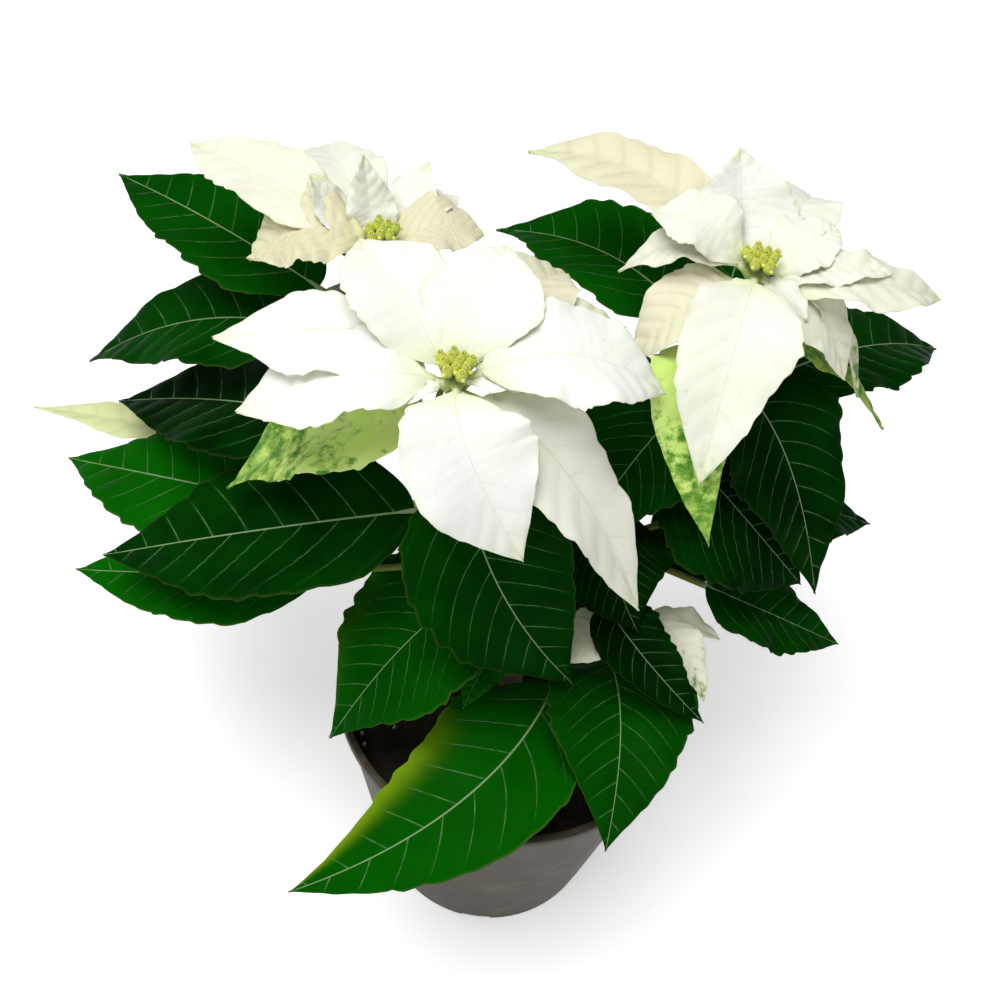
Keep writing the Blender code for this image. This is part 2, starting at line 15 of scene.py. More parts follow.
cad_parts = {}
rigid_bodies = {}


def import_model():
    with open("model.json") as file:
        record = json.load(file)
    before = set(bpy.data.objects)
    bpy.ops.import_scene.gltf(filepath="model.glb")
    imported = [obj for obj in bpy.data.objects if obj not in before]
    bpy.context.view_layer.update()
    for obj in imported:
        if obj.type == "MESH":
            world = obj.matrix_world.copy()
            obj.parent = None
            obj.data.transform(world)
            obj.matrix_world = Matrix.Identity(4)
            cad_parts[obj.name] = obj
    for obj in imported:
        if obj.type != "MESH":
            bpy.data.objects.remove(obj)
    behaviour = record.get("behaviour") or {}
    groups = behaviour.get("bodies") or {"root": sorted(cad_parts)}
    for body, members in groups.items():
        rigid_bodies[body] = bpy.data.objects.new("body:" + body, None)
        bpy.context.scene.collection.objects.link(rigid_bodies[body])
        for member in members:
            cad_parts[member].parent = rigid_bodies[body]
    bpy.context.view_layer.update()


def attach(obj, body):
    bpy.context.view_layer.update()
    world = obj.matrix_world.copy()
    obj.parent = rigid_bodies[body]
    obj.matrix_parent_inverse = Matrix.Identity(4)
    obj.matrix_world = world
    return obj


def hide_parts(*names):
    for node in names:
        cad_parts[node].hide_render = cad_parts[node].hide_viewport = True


MM = 0.001
BODY = "root"
SEED = 7

# Camera and light, set to the photograph's view
CAMERA_PLACE = (-13, -253, 515)
CAMERA_DOWN = 49.6
CAMERA_ROLL = 7.6
CAMERA_LENS = 44.86
SENSOR_WIDTH = 36
CLIP_START = 0.01
FLOOR_SIDE = 4000
FLOOR_GLOW = 0.40
SURROUND_STRENGTH = 0.34

# Each light: name, place and aim in metres, side and power
LIGHTS = (
    ("overhead", (-0.25, -0.10, 1.30), (0, 0.03, 0.15), 0.9, 12.5),
    ("front", (-0.5, -1.3, 0.9), (0, 0, 0.15), 0.8, 4.6),
)

# Stem: the trunk stands in the soil, and each branch has a knee, a top, a neck and a radius
GAP = 0.35
WELD = 0.01
TRUNK_FOOT = (0, 0, 62)
TRUNK_FORK = (0, 2, 128)
TRUNK_BENDS = ((0.5, 0.2, 90), (0, 0.6, 110))
TRUNK_PAST_FORK = 4
TRUNK_RADIUS = 4.6
TRUNK_SWELL = 1.05
TRUNK_TAPER = 0.006
TRUNK_STEPS = 5
TRUNK_SIDES = 16
BRANCH_RADIUS = 3.2
SHOOT_RADIUS = 2.2
BRANCH_POINTS = 6
COLLAR = 0.8
BEND_END = 0.94
BRANCH_SWELL = 1.1
BRANCH_TAPER = 0.25
BRANCH_STEPS = 8
BRANCH_SIDES = 12
BRANCH_SLIM = 0.97
KNOT_SWELL = 0.12
KNOT_REACH = 0.022
BRANCH_INTO_BLOOM = 0.55
BARK_VOXEL = 0.55
BARK_SMOOTHING = 6
BRANCHES = {
    "centre": ((-6, 9, 165), (-31, 11, 245), 30, BRANCH_RADIUS),
    "right": ((24, 24, 155), (58, 65, 256), 26, BRANCH_RADIUS),
    "left": ((-26, 34, 152), (-65, 84, 232), 20, BRANCH_RADIUS),
    "side": ((20, 4, 122), (42, 16, 137), 8, SHOOT_RADIUS),
}

# A blade grows from its branch at a share of the branch's length and ends at its tip.
# arch lifts its middle, sweep bows it sideways, roll turns it about its midrib, fold lifts its
# margins into a V, wave ripples them, and stalk is the bare share of its length. tint runs from
# deep to bright green on a leaf, and from pale to green on a half green bract.
Blade = namedtuple("Blade", "name branch share tip width arch sweep roll fold wave stalk look tint")

LEAVES = (
    Blade("leaf_left_high", "left", 0.80, (-180, 150, 208), 48, 8, -3, 4, 8, 2.0, 0.22, "leaf", 0.45),
    Blade("leaf_left_back", "left", 0.72, (-184, 98, 154), 52, 22, 2, 10, 8, 2.2, 0.26, "leaf", 0.30),
    Blade("leaf_left_dark", "centre", 0.80, (-168, 82, 150), 56, 8, 4, 6, 6, 2.0, 0.32, "leaf", 0.05),
    Blade("leaf_left_bright", "centre", 0.47, (-187, 67, 129), 54, 10, -7, 6, 6, 2.4, 0.36, "leaf", 0.90),
    Blade("leaf_left_large", "centre", 0.64, (-151, 7, 150), 60, 8, -5, 6, 8, 2.2, 0.12, "leaf", 0.15),
    Blade("leaf_left_low", "centre", 0.42, (-168, 16, 126), 44, 5, -7, 8, 10, 2.0, 0.36, "leaf", 0.95),
    Blade("leaf_front_large", "centre", 0.86, (20, -20, 150), 55, 12, 15, -30, 8, 2.0, 0.10, "leaf", 0.20),
    Blade("leaf_front_left", "centre", 0.34, (-61, -38, 122), 62, 14, 0, -6, 8, 2.0, 0.10, "leaf", 0.50),
    Blade("leaf_front_long", "side", 0.30, (-68, -82, 90), 52, 20, -22, 4, 10, 2.4, 0.08, "leaf", 0.70),
    Blade("leaf_front_right", "side", 0.62, (38, -66, 121), 52, 16, -3, 0, 8, 2.0, 0.08, "leaf", 0.40),
    Blade("leaf_right_narrow", "right", 0.28, (66, -27, 147), 25, 8, 7, -10, 14, 1.4, 0.20, "leaf", 0.05),
    Blade("leaf_right_low", "right", 0.36, (122, 27, 128), 34, 8, 6, -8, 10, 2.2, 0.38, "leaf", 0.30),
    Blade("leaf_right_large", "right", 0.82, (104, 25, 160), 50, 12, -4, -14, 8, 2.2, 0.14, "leaf", 0.10),
    Blade("leaf_right_outer", "right", 0.38, (132, 72, 148), 42, 14, 0, 0, 10, 2.0, 0.34, "leaf", 0.15),
    Blade("leaf_right_back", "right", 0.66, (152, 134, 188), 48, 16, 0, -4, 10, 2.2, 0.26, "leaf", 0.20),
    Blade("leaf_top_centre", "right", 0.84, (-28, 136, 216), 50, 10, 8, 8, 16, 2.0, 0.16, "leaf", 0.50),
    Blade("leaf_inner_front", "right", 0.46, (40, -5, 164), 49, 7, 9, 0, 8, 1.8, 0.08, "leaf", 0.05),
    Blade("leaf_inner_right", "right", 0.62, (98, 26, 163), 64, 9, 7, -16, 8, 2.0, 0.08, "leaf", 0.05),
    Blade("leaf_centre_right", "right", 0.74, (15, 14, 185), 49, 8, 0, 0, 8, 1.8, 0.14, "leaf", 0.25),
    Blade("leaf_young", "centre", 0.14, (-16, -30, 140), 18, 5, 0, 0, 18, 1.2, 0.14, "leaf", 1.00),
    Blade("leaf_back_right", "right", 0.60, (110, 150, 148), 50, 22, 0, 0, 10, 2.4, 0.30, "leaf", 0.35),
    Blade("leaf_back_middle", "right", 0.42, (58, 162, 130), 50, 24, 0, 0, 10, 2.4, 0.32, "leaf", 0.55),
    Blade("leaf_back_centre", "left", 0.55, (-26, 168, 134), 50, 24, 0, 0, 10, 2.4, 0.30, "leaf", 0.30),
    Blade("leaf_back_left", "left", 0.64, (-108, 166, 142), 50, 22, 0, 0, 10, 2.4, 0.30, "leaf", 0.60),
    Blade("leaf_back_high", "left", 0.82, (-92, 186, 184), 46, 16, 0, 0, 10, 2.4, 0.24, "leaf", 0.40),
    Blade("leaf_back_top", "right", 0.74, (72, 172, 206), 48, 14, 0, 0, 10, 2.4, 0.22, "leaf", 0.45),
    Blade("leaf_low_back", "right", 0.16, (16, 116, 122), 44, 18, 0, 0, 10, 2.0, 0.34, "leaf", 0.25),
    Blade("leaf_low_left", "left", 0.22, (-118, 74, 120), 44, 14, 0, 0, 10, 2.0, 0.36, "leaf", 0.20),
    Blade("leaf_low_right", "right", 0.20, (106, 78, 121), 44, 18, 0, 0, 10, 2.0, 0.34, "leaf", 0.15),
    Blade("cream_leaf_left", "left", 0.36, (-213, 98, 122), 22, 6, 2, 0, 12, 1.6, 0.46, "cream", 0.75),
    Blade(
        "mottled_bract_centre", "centre", 0.92, (-105, 15, 187), 38, 16, 0, 8, 10, 2.4, 0.14,
        "mottled", 0.55,
    ),
    Blade("mottled_bract_right", "right", 0.90, (56, 4, 204), 32, 20, 12, 0, 10, 2.0, 0.14, "mottled", 0.45),
    Blade("green_bract_right", "right", 0.93, (118, 66, 206), 13, 12, 0, 0, 12, 1.2, 0.20, "mottled", 1.00),
)

# How far the margin of a leaf has turned yellow
YELLOW_MARGINS = {"leaf_front_long": 0.62, "leaf_front_left": 0.05}

# A bract's tip is given from its bloom's centre. shade turns it from white to cream, partly the bract's own
# cream and partly painted shade where the bract lies in shadow. green lets green spots show, and pleat
# scales the relief between its side veins.
Bract = namedtuple(
    "Bract", "tip width arch sweep roll fold wave shade green pleat", defaults=(0.0, 0.0, 1.0)
)
Bloom = namedtuple("Bloom", "branch buds bracts")

BLOOMS = {
    "centre": Bloom(
        "centre",
        7,
        (
            Bract((27, -38, -36), 42, 14, 9, 0, 8, 1.6),
            Bract((64, 15, -12), 40, 12, -2, -8, 6, 1.8),
            Bract((-64, -9, -20), 38, 12, -2, 4, 6, 1.8),
            Bract((10, 46, 12), 36, 5, 0, 0, 8, 1.4, 0.15),
            Bract((-36, 42, 10), 38, 6, 0, 0, 8, 1.4, 0.15),
            Bract((-76, 13, -12), 34, 8, 2, 4, 8, 1.6),
            Bract((67, -24, -72), 36, 19.3, 0, -6, 8, 2.0, 0.22),
            Bract((50, 40, -10), 26, 12, 0, -6, 8, 1.8, 0.6, 0.0, 2.0),
            Bract((30, 62, -10), 32, 14, 0, -6, 8, 2.2, 0.8, 0.0, 2.2),
            Bract((6, -24, -8), 13, 2, 0, 0, 16, 0.8),
            Bract((-22, -12, -6), 12, 2, 0, 0, 14, 0.8),
            Bract((22, 2, -5), 12, 2, 0, 0, 14, 0.8),
        ),
    ),
    "right": Bloom(
        "right",
        7,
        (
            Bract((-10, -56, -43), 36, 18, 1, 0, 12, 1.6, 0.3, 0.05),
            Bract((-42, 8, -16), 20, 12, 0, 6, 10, 1.6, 0.4),
            Bract((-35, 14, 4), 28, 8, 0, 6, 8, 1.6, 0.3),
            Bract((-77, 56, -8), 28, 12, 4, 8, 10, 1.6, 0.9, 0.0, 1.4),
            Bract((-10, 32, 21), 37, -4, 0, 0, 10, 1.4, 0.1),
            Bract((26, 18, 4), 24, 4, 0, -4, 10, 1.4, 0.3),
            Bract((42, 2, 2), 16, 4, 0, -4, 12, 1.2, 0.3),
            Bract((62, 8, -10), 22, 10, 7, -8, 8, 1.8, 0.5),
            Bract((34, -16, -28), 28, 12, 0, -8, 10, 1.6, 0.5),
            Bract((44, -6, -44), 16, 18, 0, -10, 14, 1.6, 0.6, 0.3),
            Bract((-36, -20, -30), 26, 12, 0, 4, 8, 1.4, 0.8, 0.0, 1.8),
            Bract((-8, -22, -6), 12, 2, 0, 0, 16, 0.8, 0.3),
            Bract((16, -16, -6), 11, 2, 0, 0, 14, 0.8, 0.3),
            Bract((24, 52, -10), 28, 14, 0, 0, 8, 1.8, 0.3),
        ),
    ),
    "left": Bloom(
        "left",
        5,
        (
            Bract((-73, 33, 4), 30, 8, -5, 8, 8, 1.8, 0.45),
            Bract((-44, -6, -12), 38, 12, 0, 8, 8, 2.2, 1.0, 0.0, 2.2),
            Bract((-9, 16, 22), 18, -6, 0, 0, 12, 1.2, 0.2),
            Bract((-26, 8, 16), 20, -4, 0, 0, 12, 1.2, 0.2, 0.0, 0.5),
            Bract((34, 14, -4), 30, 8, 0, -4, 8, 1.6, 0.9),
            Bract((12, 30, 12), 22, -2, 0, 0, 10, 1.2, 0.2),
            Bract((-34, 54, -6), 28, 12, 0, 0, 8, 1.8, 0.3),
            Bract((20, 42, -12), 24, 12, 0, 0, 8, 1.8, 0.3),
            Bract((6, -34, -14), 26, 10, 0, 0, 8, 1.4, 0.4),
        ),
    ),
    "side": Bloom(
        "side",
        0,
        (
            Bract((-37, -27, 2), 22, 4, -5, 0, 8, 1.4, 0.6),
            Bract((25, -32, -8), 16, 12, 0, 0, 12, 1.6, 0.5, 0.12),
            Bract((30, -8, -4), 11, 3, 0, 0, 10, 1.4, 0.5),
        ),
    ),
}
RECEPTACLE_RADIUS = 4.6
RECEPTACLE_HEIGHT = 14
RECEPTACLE_PEAK = 0.8
SMALL_DROP = 3.4
SMALL_BRACT = 15
BRACT_STALK = 0.09
ROOT_REACH = 0.45

# Buds: a dome with an urn-shaped cyathium on each place of a sunflower spiral
GOLDEN_TURN = math.pi * (3 - math.sqrt(5))
BUD_SPREAD = 5.1
BUD_BED = 1.6
BUD_START = 0.4
BUD_DOME = -0.12
BUD_LEAN = 60.0
BUD_LIFT = 0.9
MORE_BUDS = 4
BED_WIDTH = 0.95
BED_SIDES = 20
BED_RINGS = 10
URN_RINGS = (
    (-2.3, 0.5), (-1.9, 1.15), (-1.0, 1.62), (0.1, 1.80), (1.1, 1.62),
    (1.8, 1.20), (2.2, 1.02), (2.45, 1.10), (2.3, 0.80), (1.7, 0.55),
)
URN_SIDES = 15
URN_RIBS = 5
URN_RIB_DEPTH = 0.05
URN_FOOT = 2.3
URN_HEIGHT = 4.75
GLAND_PLACE = (1.75, 0, 0.9)
GLAND_SIZE = (0.95, 0.80, 0.62)
STAMENS = 4
STAMEN_START = 1.1
STAMEN_TURN = 1.57
ANTHER_REACH = 0.55
ANTHER_LEVEL = 3.0
ANTHER_SIZE = (0.30, 0.30, 0.34)
FILAMENT_REACH = 0.45
FILAMENT_LEVEL = 2.2
FILAMENT_SIZE = (0.12, 0.12, 0.8)
FILAMENT_RISE = 0.7

# A blade's form: the rise and fall of its outline, its teeth, the slow swell of its margins, its
# thickness, its side veins and how far they lean, the relief between them, and its mesh along and across
Form = namedtuple("Form", "rise fall tooth swell thick veins lean relief along across")
LEAF_FORM = Form(0.62, 1.15, 0.075, 0.025, 0.45, 9, 0.60, 0.75, 84, 21)
BRACT_FORM = Form(0.82, 1.0, 0.060, 0.055, 0.40, 8, 0.55, 0.70, 64, 17)
HALF_GREEN_FORM = BRACT_FORM._replace(rise=LEAF_FORM.rise, fall=LEAF_FORM.fall)
SMALL_FORM = Form(0.82, 1.0, 0.01, 0.03, 0.40, 5, 0.55, 0.25, 20, 9)
SWELL_BEATS = (7.0, 13.0, 21.0)
VEIN_CURVE = 1.3
VEIN_STAGGER = 0.45
TEETH = 12
TOOTH_LEAST = 0.25
TOOTH_SPREAD = 1.5
TOOTH_SHIFT = 0.4
TOOTH_PEAK = 0.72
TOOTHED_SPAN = 0.96
TOOTHED_START = 0.02
TOOTHED_FADE = 0.4
TANGENT_STEP = 0.01
TURN_FULL = 0.05
ACROSS_SPAN = 0.98
LEAST_HALF = 0.25
FOLD_FULL = 0.25
FOLD_SOFT = 0.006
FOLD_DIP = 0.077
RIPPLES = 2.3
RIPPLE_SHIFT = 0.3
FRILLS = 6.1
FRILL_SHIFT = 0.4
FRILL_HEIGHT = 0.28
MARGIN_THINNING = 0.45
RELIEF_ROUND = 0.7
RELIEF_INNER = 0.22
RELIEF_OUTER = 0.72
RELIEF_AT_MARGIN = 0.15

# A leaf's stalk, which runs on as the midrib under the blade
STALK_RADIUS = 1.25
STALK_SIDES = 8
STALK_SINK = 1.6
STALK_START = -0.001
STALK_FLARE = 0.25
STALK_FLARE_END = 0.05
RIB_END = 0.985
RIB_LEAST = 0.16
RIB_TAPER = 2.2
RIB_SINK_RATE = 10

# Pot and soil
POT_HEIGHT = 115
POT_RIM_RADIUS = 65
POT_BASE_RADIUS = 46
POT_WALL = 1.6
LIP_HEIGHT = 4
LIP_OUT = 1.2
FOOT_HEIGHT = 4
FOOT_WIDTH = 5
FLOOR_THICK = 2
DRAIN_COUNT = 6
DRAIN_RADIUS = 4
DRAIN_RING = 30
NOTCH_COUNT = 6
NOTCH_WIDTH = 12
NOTCH_HEIGHT = 2.4
POT_STEPS = 96
RIM_INNER_ROUND = 0.7
RIM_OUTER_ROUND = 1.0
LIP_ROUND = 0.5
FOOT_ROUND = 1.0
FOOT_LEAN = 0.3
FLOOR_FILLET = 2
WALL_RINGS = 8
DRAIN_SIDES = 24
DRAIN_CUT = 24
SHARP_ANGLE = 35
SOIL_TOP = 99
SOIL_CROWN = 2.5
SOIL_CLEAR = 0.15
SOIL_FOOT_CLEAR = 2.4
SOIL_RINGS = 24
SOIL_SINK = 1.2
LUMP_HEIGHT = 0.7
LUMP_WAVES = 40
LUMP_SCALE = 320
LUMP_DEPTH = 3
LUMP_MARGIN = 1

# What lies on the soil. squash flattens a grain, and density is the count on a square metre.
Grain = namedtuple("Grain", "name squash density smallest largest seed look")
GRAINS = (
    Grain("soil_crumbs", 0.7, 150000.0, 0.5, 1.5, 3, "soil"),
    Grain("perlite_grains", 0.9, 3200.0, 0.3, 1.2, 5, "perlite"),
)
GRAIN_LEAST = 0.65
GRAIN_MOST = 1.15
GRAIN_WIDTH = 0.8
GRAIN_TURN = 6.28
FACING_UP = 0.5

# Leaf colours
LEAF_DEEP = (0.0004, 0.012, 0.0005, 1)
LEAF_BRIGHT = (0.0020, 0.118, 0.0003, 1)
LEAF_SPECK = (0.002, 0.012, 0.002, 1)
LEAF_BY_VEIN = (0.006, 0.100, 0.004, 1)
LEAF_UNDERSIDE = (0.055, 0.14, 0.040, 1)
LEAF_EDGE = (0.14, 0.17, 0.035, 1)
LEAF_YELLOW = (0.22, 0.36, 0.008, 1)
LEAF_VEIN = (0.16, 0.28, 0.13, 1)
LEAF_MIDRIB = (0.26, 0.38, 0.19, 1)
STALK_GREEN = (0.10, 0.17, 0.035, 1)
STALK_TAN = (0.20, 0.17, 0.060, 1)

# Bract colours. Each kind has a name, its own colour, the one that it shades into and the strength
# of its green spots. The white bract's dull cream is partly its own colour and partly painted shade.
BRACT_KINDS = {
    "bract": ("white bract", (0.83, 0.85, 0.79, 1), (0.66, 0.63, 0.42, 1), 0.9),
    "cream": ("cream bract", (0.72, 0.74, 0.46, 1), (0.62, 0.68, 0.32, 1), 0.9),
    "mottled": ("mottled bract", (0.72, 0.86, 0.30, 1), (0.42, 0.74, 0.070, 1), 1.0),
}
BRACT_BASE = (0.66, 0.72, 0.28, 1)
BRACT_PATCH = (0.74, 0.75, 0.50, 1)
# Painted shade for a bract's underside
BRACT_UNDERSIDE_SHADE = (0.60, 0.58, 0.40, 1)
BRACT_EDGE = (0.64, 0.70, 0.34, 1)
BRACT_VEIN = (0.56, 0.60, 0.30, 1)
# Painted shade for the creases along a bract's side veins
BRACT_CREASE_SHADE = (0.55, 0.47, 0.32, 1)
BRACT_MIDRIB = (0.56, 0.62, 0.28, 1)
BRACT_FOOT = (0.40, 0.50, 0.16, 1)
SPOT_LIGHT = (0.32, 0.48, 0.08, 1)
SPOT_DEEP = (0.060, 0.24, 0.016, 1)

# Colours of the buds, wood, pot, soil, perlite and floor
# Painted shade low on the buds and between them
BUD_PAINTED_SHADE = (0.020, 0.050, 0.004, 1)
BUD_GREEN = (0.52, 0.62, 0.090, 1)
BUD_MOUTH = (0.76, 0.74, 0.16, 1)
BUD_PATCH = (0.17, 0.24, 0.02, 1)
YOUNG_WOOD = ((0.11, 0.20, 0.045, 1), (0.22, 0.31, 0.09, 1))
OLD_WOOD = ((0.12, 0.085, 0.045, 1), (0.30, 0.24, 0.15, 1))
POT_COLOURS = ((0.026, 0.020, 0.012, 1), (0.056, 0.043, 0.026, 1))
POT_DUST = (0.15, 0.128, 0.100, 1)
# Painted contact shadow at the pot's foot
POT_FOOT_CONTACT_SHADOW = (0.008, 0.006, 0.005, 1)
SOIL_COLOURS = ((0.004, 0.003, 0.002, 1), (0.050, 0.034, 0.022, 1))
PERLITE_COLOURS = ((0.55, 0.53, 0.48, 1), (0.86, 0.85, 0.80, 1))
FLOOR_COLOUR = (0.95, 0.95, 0.96, 1)
WHITE = (1.0, 1.0, 1.0, 1)


class Wiring:
    """Short calls that add and link nodes in a shader or geometry tree."""

    def __init__(self, tree):
        self.tree = tree

    def node(self, kind, sockets=None, **settings):
        node = self.tree.nodes.new(kind)
        for key, value in settings.items():
            setattr(node, key, value)
        for key, value in (sockets or {}).items():
            self.feed(node.inputs[key], value)
        return node

    def feed(self, socket, value):
        if isinstance(value, bpy.types.NodeSocket):
            self.tree.links.new(value, socket)
        else:
            socket.default_value = value

    def math(self, operation, *values, clamp=False):
        node = self.node("ShaderNodeMath", operation=operation, use_clamp=clamp)
        for socket, value in zip(node.inputs, values):
            self.feed(socket, value)
        return node.outputs[0]

    def split(self, vector):
        return self.node("ShaderNodeSeparateXYZ", {0: vector}).outputs

    def join(self, x, y, z):
        return self.node("ShaderNodeCombineXYZ", {0: x, 1: y, 2: z}).outputs[0]

    def remap(self, value, low, high, start=0.0, end=1.0, kind="SMOOTHSTEP"):
        """The value's place between low and high, eased, as start to end."""
        sockets = {"Value": value, "From Min": low, "From Max": high, "To Min": start, "To Max": end}
        return self.node("ShaderNodeMapRange", sockets, interpolation_type=kind).outputs["Result"]

    def mix(self, share, first, second):
        node = self.node("ShaderNodeMix", data_type="RGBA")
        self.feed(node.inputs["Factor"], share)
        self.feed(node.inputs[6], first)
        self.feed(node.inputs[7], second)
        return node.outputs[2]

    def noise(self, vector, scale, detail=3.0, rough=0.55):
        sockets = {"Vector": vector, "Scale": scale, "Detail": detail, "Roughness": rough}
        return self.node("ShaderNodeTexNoise", sockets).outputs["Fac"]


def new_material(name):
    """A Principled material: its wiring, its shader and its Object coordinates."""
    material = bpy.data.materials.new(name)
    material.use_nodes = True
    wiring = Wiring(material.node_tree)
    shader = material.node_tree.nodes["Principled BSDF"]
    coords = wiring.node("ShaderNodeTexCoord").outputs["Object"]
    return material, wiring, shader, coords


def bump(wiring, shader, height, strength, distance):
    node = wiring.node("ShaderNodeBump", {"Height": height, "Strength": strength, "Distance": distance})
    wiring.feed(shader.inputs["Normal"], node.outputs["Normal"])


def stored(wiring, name):
    """The three values of an attribute that each point of a blade carries."""
    return wiring.split(wiring.node("ShaderNodeAttribute", attribute_name=name).outputs["Vector"])


def cell_distance(wiring, coords, scale):
    """Distance to the edge of the nearest cell, for the fine net of a blade's surface."""
    sockets = {"Vector": coords, "Scale": scale}
    return wiring.node("ShaderNodeTexVoronoi", sockets, feature="DISTANCE_TO_EDGE").outputs["Distance"]


def vein_turn(wiring, along, across, lateral, veins, lean):
    """Where a point's side vein leaves the midrib, and its count along it: whole on a vein, half between."""
    bend = wiring.math("MULTIPLY", lateral, wiring.math("MULTIPLY_ADD", lateral, VEIN_CURVE, lean))
    start = wiring.math("SUBTRACT", along, bend)
    stagger = wiring.math("MULTIPLY", wiring.math("GREATER_THAN", across, 0.0), VEIN_STAGGER)
    return start, wiring.math("MULTIPLY_ADD", start, veins, stagger)


def vein_lines(wiring, veins, lean):
    """Masks of the midrib and the side veins, from each point's place on its blade."""
    along, across, lateral = stored(wiring, "place")
    out = wiring.math("ABSOLUTE", across)
    start, turn = vein_turn(wiring, along, across, lateral, float(veins), lean)
    near = wiring.math("ABSOLUTE", wiring.math("SUBTRACT", wiring.math("FRACT", turn), 0.5))
    near = wiring.math("SUBTRACT", 0.5, near)
    thin = wiring.remap(out, 0.0, 1.0, 0.030, 0.013, "LINEAR")
    side = wiring.math("SUBTRACT", 1.0, wiring.remap(near, wiring.math("MULTIPLY", thin, 0.3), thin))
    side = wiring.math("MULTIPLY", side, wiring.remap(out, 0.62, 0.92, 1.0, 0.0))
    side = wiring.math("MULTIPLY", side, wiring.remap(start, 0.01, 0.05))
    slim = wiring.remap(along, 0.0, 1.0, 0.0050, 0.0018, "LINEAR")
    mid = wiring.math("SUBTRACT", 1.0, wiring.remap(lateral, wiring.math("MULTIPLY", slim, 0.4), slim))
    return along, across, out, near, mid, side


def leaf_material():
    """Deep green with paler side veins and midrib, light and dark patches and, on some, a yellow margin."""
    material, wiring, shader, coords = new_material("poinsettia leaf")
    along, across, out, near, mid, side = vein_lines(wiring, LEAF_FORM.veins, LEAF_FORM.lean)
    tinted, below, yellowed = stored(wiring, "look")
    patches = wiring.noise(coords, 45.0)
    fine = wiring.noise(coords, 900.0, 2.0)
    tint = wiring.math("MULTIPLY_ADD", wiring.math("SUBTRACT", patches, 0.5), 0.6, tinted, clamp=True)
    green = wiring.mix(tint, LEAF_DEEP, LEAF_BRIGHT)
    green = wiring.mix(wiring.math("MULTIPLY", fine, 0.30), green, LEAF_SPECK)
    paler = wiring.remap(near, 0.0, 0.14, 0.12, 0.0)
    green = wiring.mix(paler, green, LEAF_BY_VEIN)
    green = wiring.mix(wiring.math("MULTIPLY", below, 0.5), green, LEAF_UNDERSIDE)
    edge = wiring.remap(out, 0.95, 1.0, 0.0, wiring.math("MULTIPLY_ADD", tinted, 0.22, 0.06))
    green = wiring.mix(edge, green, LEAF_EDGE)
    worn = wiring.remap(wiring.noise(coords, 240.0, 2.0), 0.35, 0.65, 0.20, 0.60)
    margin = wiring.math("POWER", wiring.remap(across, 0.35, 1.0), 1.8)
    outer = wiring.remap(along, 0.25, 0.55)
    yellow = wiring.math("MULTIPLY", wiring.math("MULTIPLY", yellowed, margin), outer)
    green = wiring.mix(yellow, green, LEAF_YELLOW)
    green = wiring.mix(wiring.math("MULTIPLY", side, worn), green, LEAF_VEIN)
    green = wiring.mix(wiring.math("MULTIPLY", mid, 0.80), green, LEAF_MIDRIB)
    bare = wiring.remap(along, -0.04, 0.0, 1.0, 0.0)
    stalk = wiring.mix(patches, STALK_GREEN, STALK_TAN)
    wiring.feed(shader.inputs["Base Color"], wiring.mix(bare, green, stalk))
    wiring.feed(shader.inputs["Roughness"], wiring.remap(patches, 0.3, 0.7, 0.34, 0.46, "LINEAR"))
    shader.inputs["Specular IOR Level"].default_value = 0.006
    net = wiring.math("MULTIPLY", cell_distance(wiring, coords, 650.0), 0.6)
    height = wiring.math("ADD", net, wiring.math("MULTIPLY", side, -0.7))
    bump(wiring, shader, height, 0.35, 0.0004)
    return material


